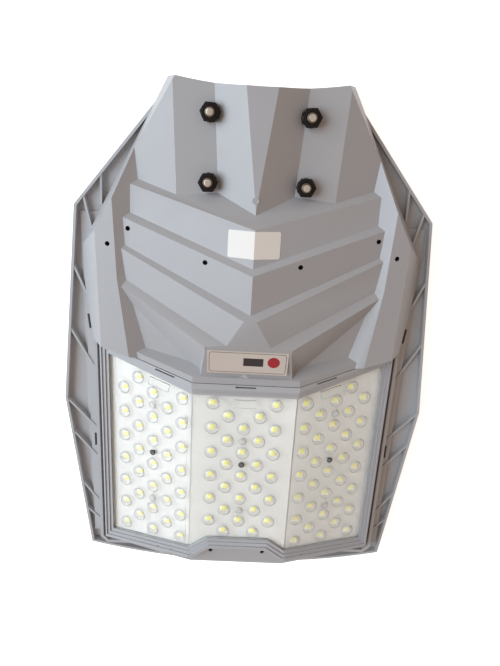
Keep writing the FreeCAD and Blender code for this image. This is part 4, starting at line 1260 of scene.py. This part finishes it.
@dataclass
class FoldBeads:
    """The beads of pale sealant that close the gaps between the boards at the two folds.

    Attributes:
        facets: the facets that the boards follow.
        depth: depth of the boards' face under the facets, in millimetres.
        reach: half the width of a bead along each facet.
        thickness: thickness of a bead.
        ends: where the beads start and end along the head.
    """

    facets: LampFacets
    depth: float = 3.8
    reach: float = 1.1
    thickness: float = 0.15
    ends: tuple[float, float] = (-22.5, -183.5)

    def ring(self, side: int, y: float) -> list[Point]:
        """List the corners of a bead's section at one place.

        Args:
            side: 1 or -1, which fold.
            y: place along the head.

        Returns:
            Six points round the section, in metres.
        """
        fold = self.facets.fold
        marks = (fold - self.reach, fold, fold + self.reach)
        top = [self.facets.at(side * mark, y, self.thickness - self.depth) for mark in marks]
        low = [self.facets.at(side * mark, y, -self.depth) for mark in reversed(marks)]
        return top + low

    def build(self) -> None:
        """Lay both beads as one piece."""
        form = bmesh.new()
        for side in (-1, 1):
            first, last = ([form.verts.new(point) for point in self.ring(side, y)] for y in self.ends)
            for step in range(len(first)):
                after = (step + 1) % len(first)
                form.faces.new((first[step], first[after], last[after], last[step]))
            form.faces.new(first)
            form.faces.new(last)
        bmesh.ops.recalc_face_normals(form, faces=form.faces)
        mesh = bpy.data.meshes.new("beads")
        form.to_mesh(mesh)
        form.free()
        beads = new_object("fold_beads", mesh)
        wear(beads, Finishes.BOARD)
        place_piece(beads)


@dataclass
class Studio:
    """Floor, lamps, world and the camera of the photograph.

    Attributes:
        camera_place: the camera's place in metres.
        camera_axes: its right, up and backward directions.
        lens: focal length on a frame 36 mm long.
    """

    camera_place: Point = (-0.01112, 0.18959, 0.50895)
    camera_axes: tuple[Point, Point, Point] = (
        (0.99845, 0.05517, 0.00799), (-0.04960, 0.94469, -0.32418), (-0.02544, 0.32328, 0.94596)
    )
    lens: float = 30.27

    def floor(self) -> None:
        """Lay the white floor, which keeps the head's shadow."""
        mesh = bpy.data.meshes.new("floor")
        reach = 6.0
        mesh.from_pydata([(-reach, -reach, 0), (reach, -reach, 0), (reach, reach, 0), (-reach, reach, 0)], [],
                         [(0, 1, 2, 3)])
        floor = new_object("floor", mesh)
        material = bpy.data.materials.new("floor_white")
        material.use_nodes = True
        tree = Tree(material.node_tree)
        shader = material.node_tree.nodes["Principled BSDF"]
        shader.inputs["Base Color"].default_value = (0.8, 0.8, 0.8, 1.0)
        shader.inputs["Roughness"].default_value = 0.9
        path = tree.add("ShaderNodeLightPath")
        seen = tree.math("MAXIMUM", path.outputs["Is Camera Ray"], path.outputs["Is Glossy Ray"])
        seen = tree.math("MAXIMUM", seen, path.outputs["Is Transmission Ray"])
        shader.inputs["Emission Color"].default_value = (1.0, 1.0, 1.0, 1.0)
        tree.join(tree.math("MULTIPLY", seen, 0.75), shader.inputs["Emission Strength"])
        floor.data.materials.append(material)

    def lamp(self, name: str, place: Point, size: float, power: float, colour: Colour) -> None:
        """Hang a square soft lamp that looks at the head.

        Args:
            name: the lamp's name.
            place: where it hangs.
            size: its side.
            power: its power in watts.
            colour: its colour.
        """
        data = bpy.data.lights.new(name, "AREA")
        data.size = size
        data.energy = power
        data.color = colour
        obj = bpy.data.objects.new(name, data)
        obj.location = place
        obj.rotation_euler = (-Vector(place)).to_track_quat("-Z", "Y").to_euler()
        bpy.context.scene.collection.objects.link(obj)

    def room(self) -> None:
        """Fill the room with warm light, stronger behind clear plastic, and white to the camera and gloss."""
        world = bpy.data.worlds.new("room")
        world.use_nodes = True
        tree = Tree(world.node_tree)
        warm = world.node_tree.nodes["Background"]
        warm.inputs[0].default_value = (1.0, 0.73, 0.56, 1.0)
        warm.inputs[1].default_value = 0.45
        white = tree.add("ShaderNodeBackground")
        white.inputs[0].default_value = (1.0, 1.0, 1.0, 1.0)
        path = tree.add("ShaderNodeLightPath")
        seen = tree.math("MULTIPLY", path.outputs["Is Glossy Ray"], 0.6)
        seen = tree.math("MAXIMUM", path.outputs["Is Camera Ray"], seen)
        through = tree.add("ShaderNodeBackground")
        through.inputs[0].default_value = (1.0, 0.78, 0.53, 1.0)
        through.inputs[1].default_value = 1.45
        behind = tree.add("ShaderNodeMixShader")
        tree.join(path.outputs["Is Transmission Ray"], behind.inputs[0])
        tree.join(warm.outputs[0], behind.inputs[1])
        tree.join(through.outputs[0], behind.inputs[2])
        mix = tree.add("ShaderNodeMixShader")
        tree.join(seen, mix.inputs[0])
        tree.join(behind.outputs[0], mix.inputs[1])
        tree.join(white.outputs[0], mix.inputs[2])
        output = next(node for node in world.node_tree.nodes if node.type == "OUTPUT_WORLD")
        tree.join(mix.outputs[0], output.inputs["Surface"])
        bpy.context.scene.world = world

    def build(self) -> None:
        """Set up floor, lamps, world and camera."""
        self.floor()
        self.lamp("key", (-2.35, 0.55, 1.8), 2.8, 112.0, (0.72, 0.88, 1.0))
        self.room()
        data = bpy.data.cameras.new("photo_view")
        data.sensor_width = 36.0
        data.lens = self.lens
        data.clip_start = 0.01
        camera = bpy.data.objects.new("photo_view", data)
        turn = Matrix(self.camera_axes).transposed().to_4x4()
        camera.matrix_world = Matrix.Translation(self.camera_place) @ turn
        bpy.context.scene.collection.objects.link(camera)
        bpy.context.scene.camera = camera
        bpy.context.scene.view_settings.view_transform = "Standard"


def main() -> None:
    """Build the head, piece by piece."""
    logging.basicConfig(level=logging.INFO, format="%(message)s")
    Studio().build()
    repeats = Repeats("stand_on_points")
    MouldedShell("rear_tray", Finishes.TRAY, "tray_plastic", edge=0.0005).build()
    MouldedShell("front_cover", Finishes.COVER, "cover_plastic", edge=0.0009).build()
    MouldedShell("lamp_bezel", Finishes.BEZEL, "bezel_plastic", edge=0.0004).build()
    facets = LampFacets()
    emitters = EmitterField(facets, repeats)
    LensPlate(facets, repeats, emitters).build()
    emitters.build()
    FoldBeads(facets).build()
    ClampHardware(repeats).build()
    SmallScrews(facets, repeats).build()
    MouldMarks(repeats).build()
    PaperLabel().build()
    RatingLabel().build()
    dress_inner()


if __name__ == "__main__":
    main()
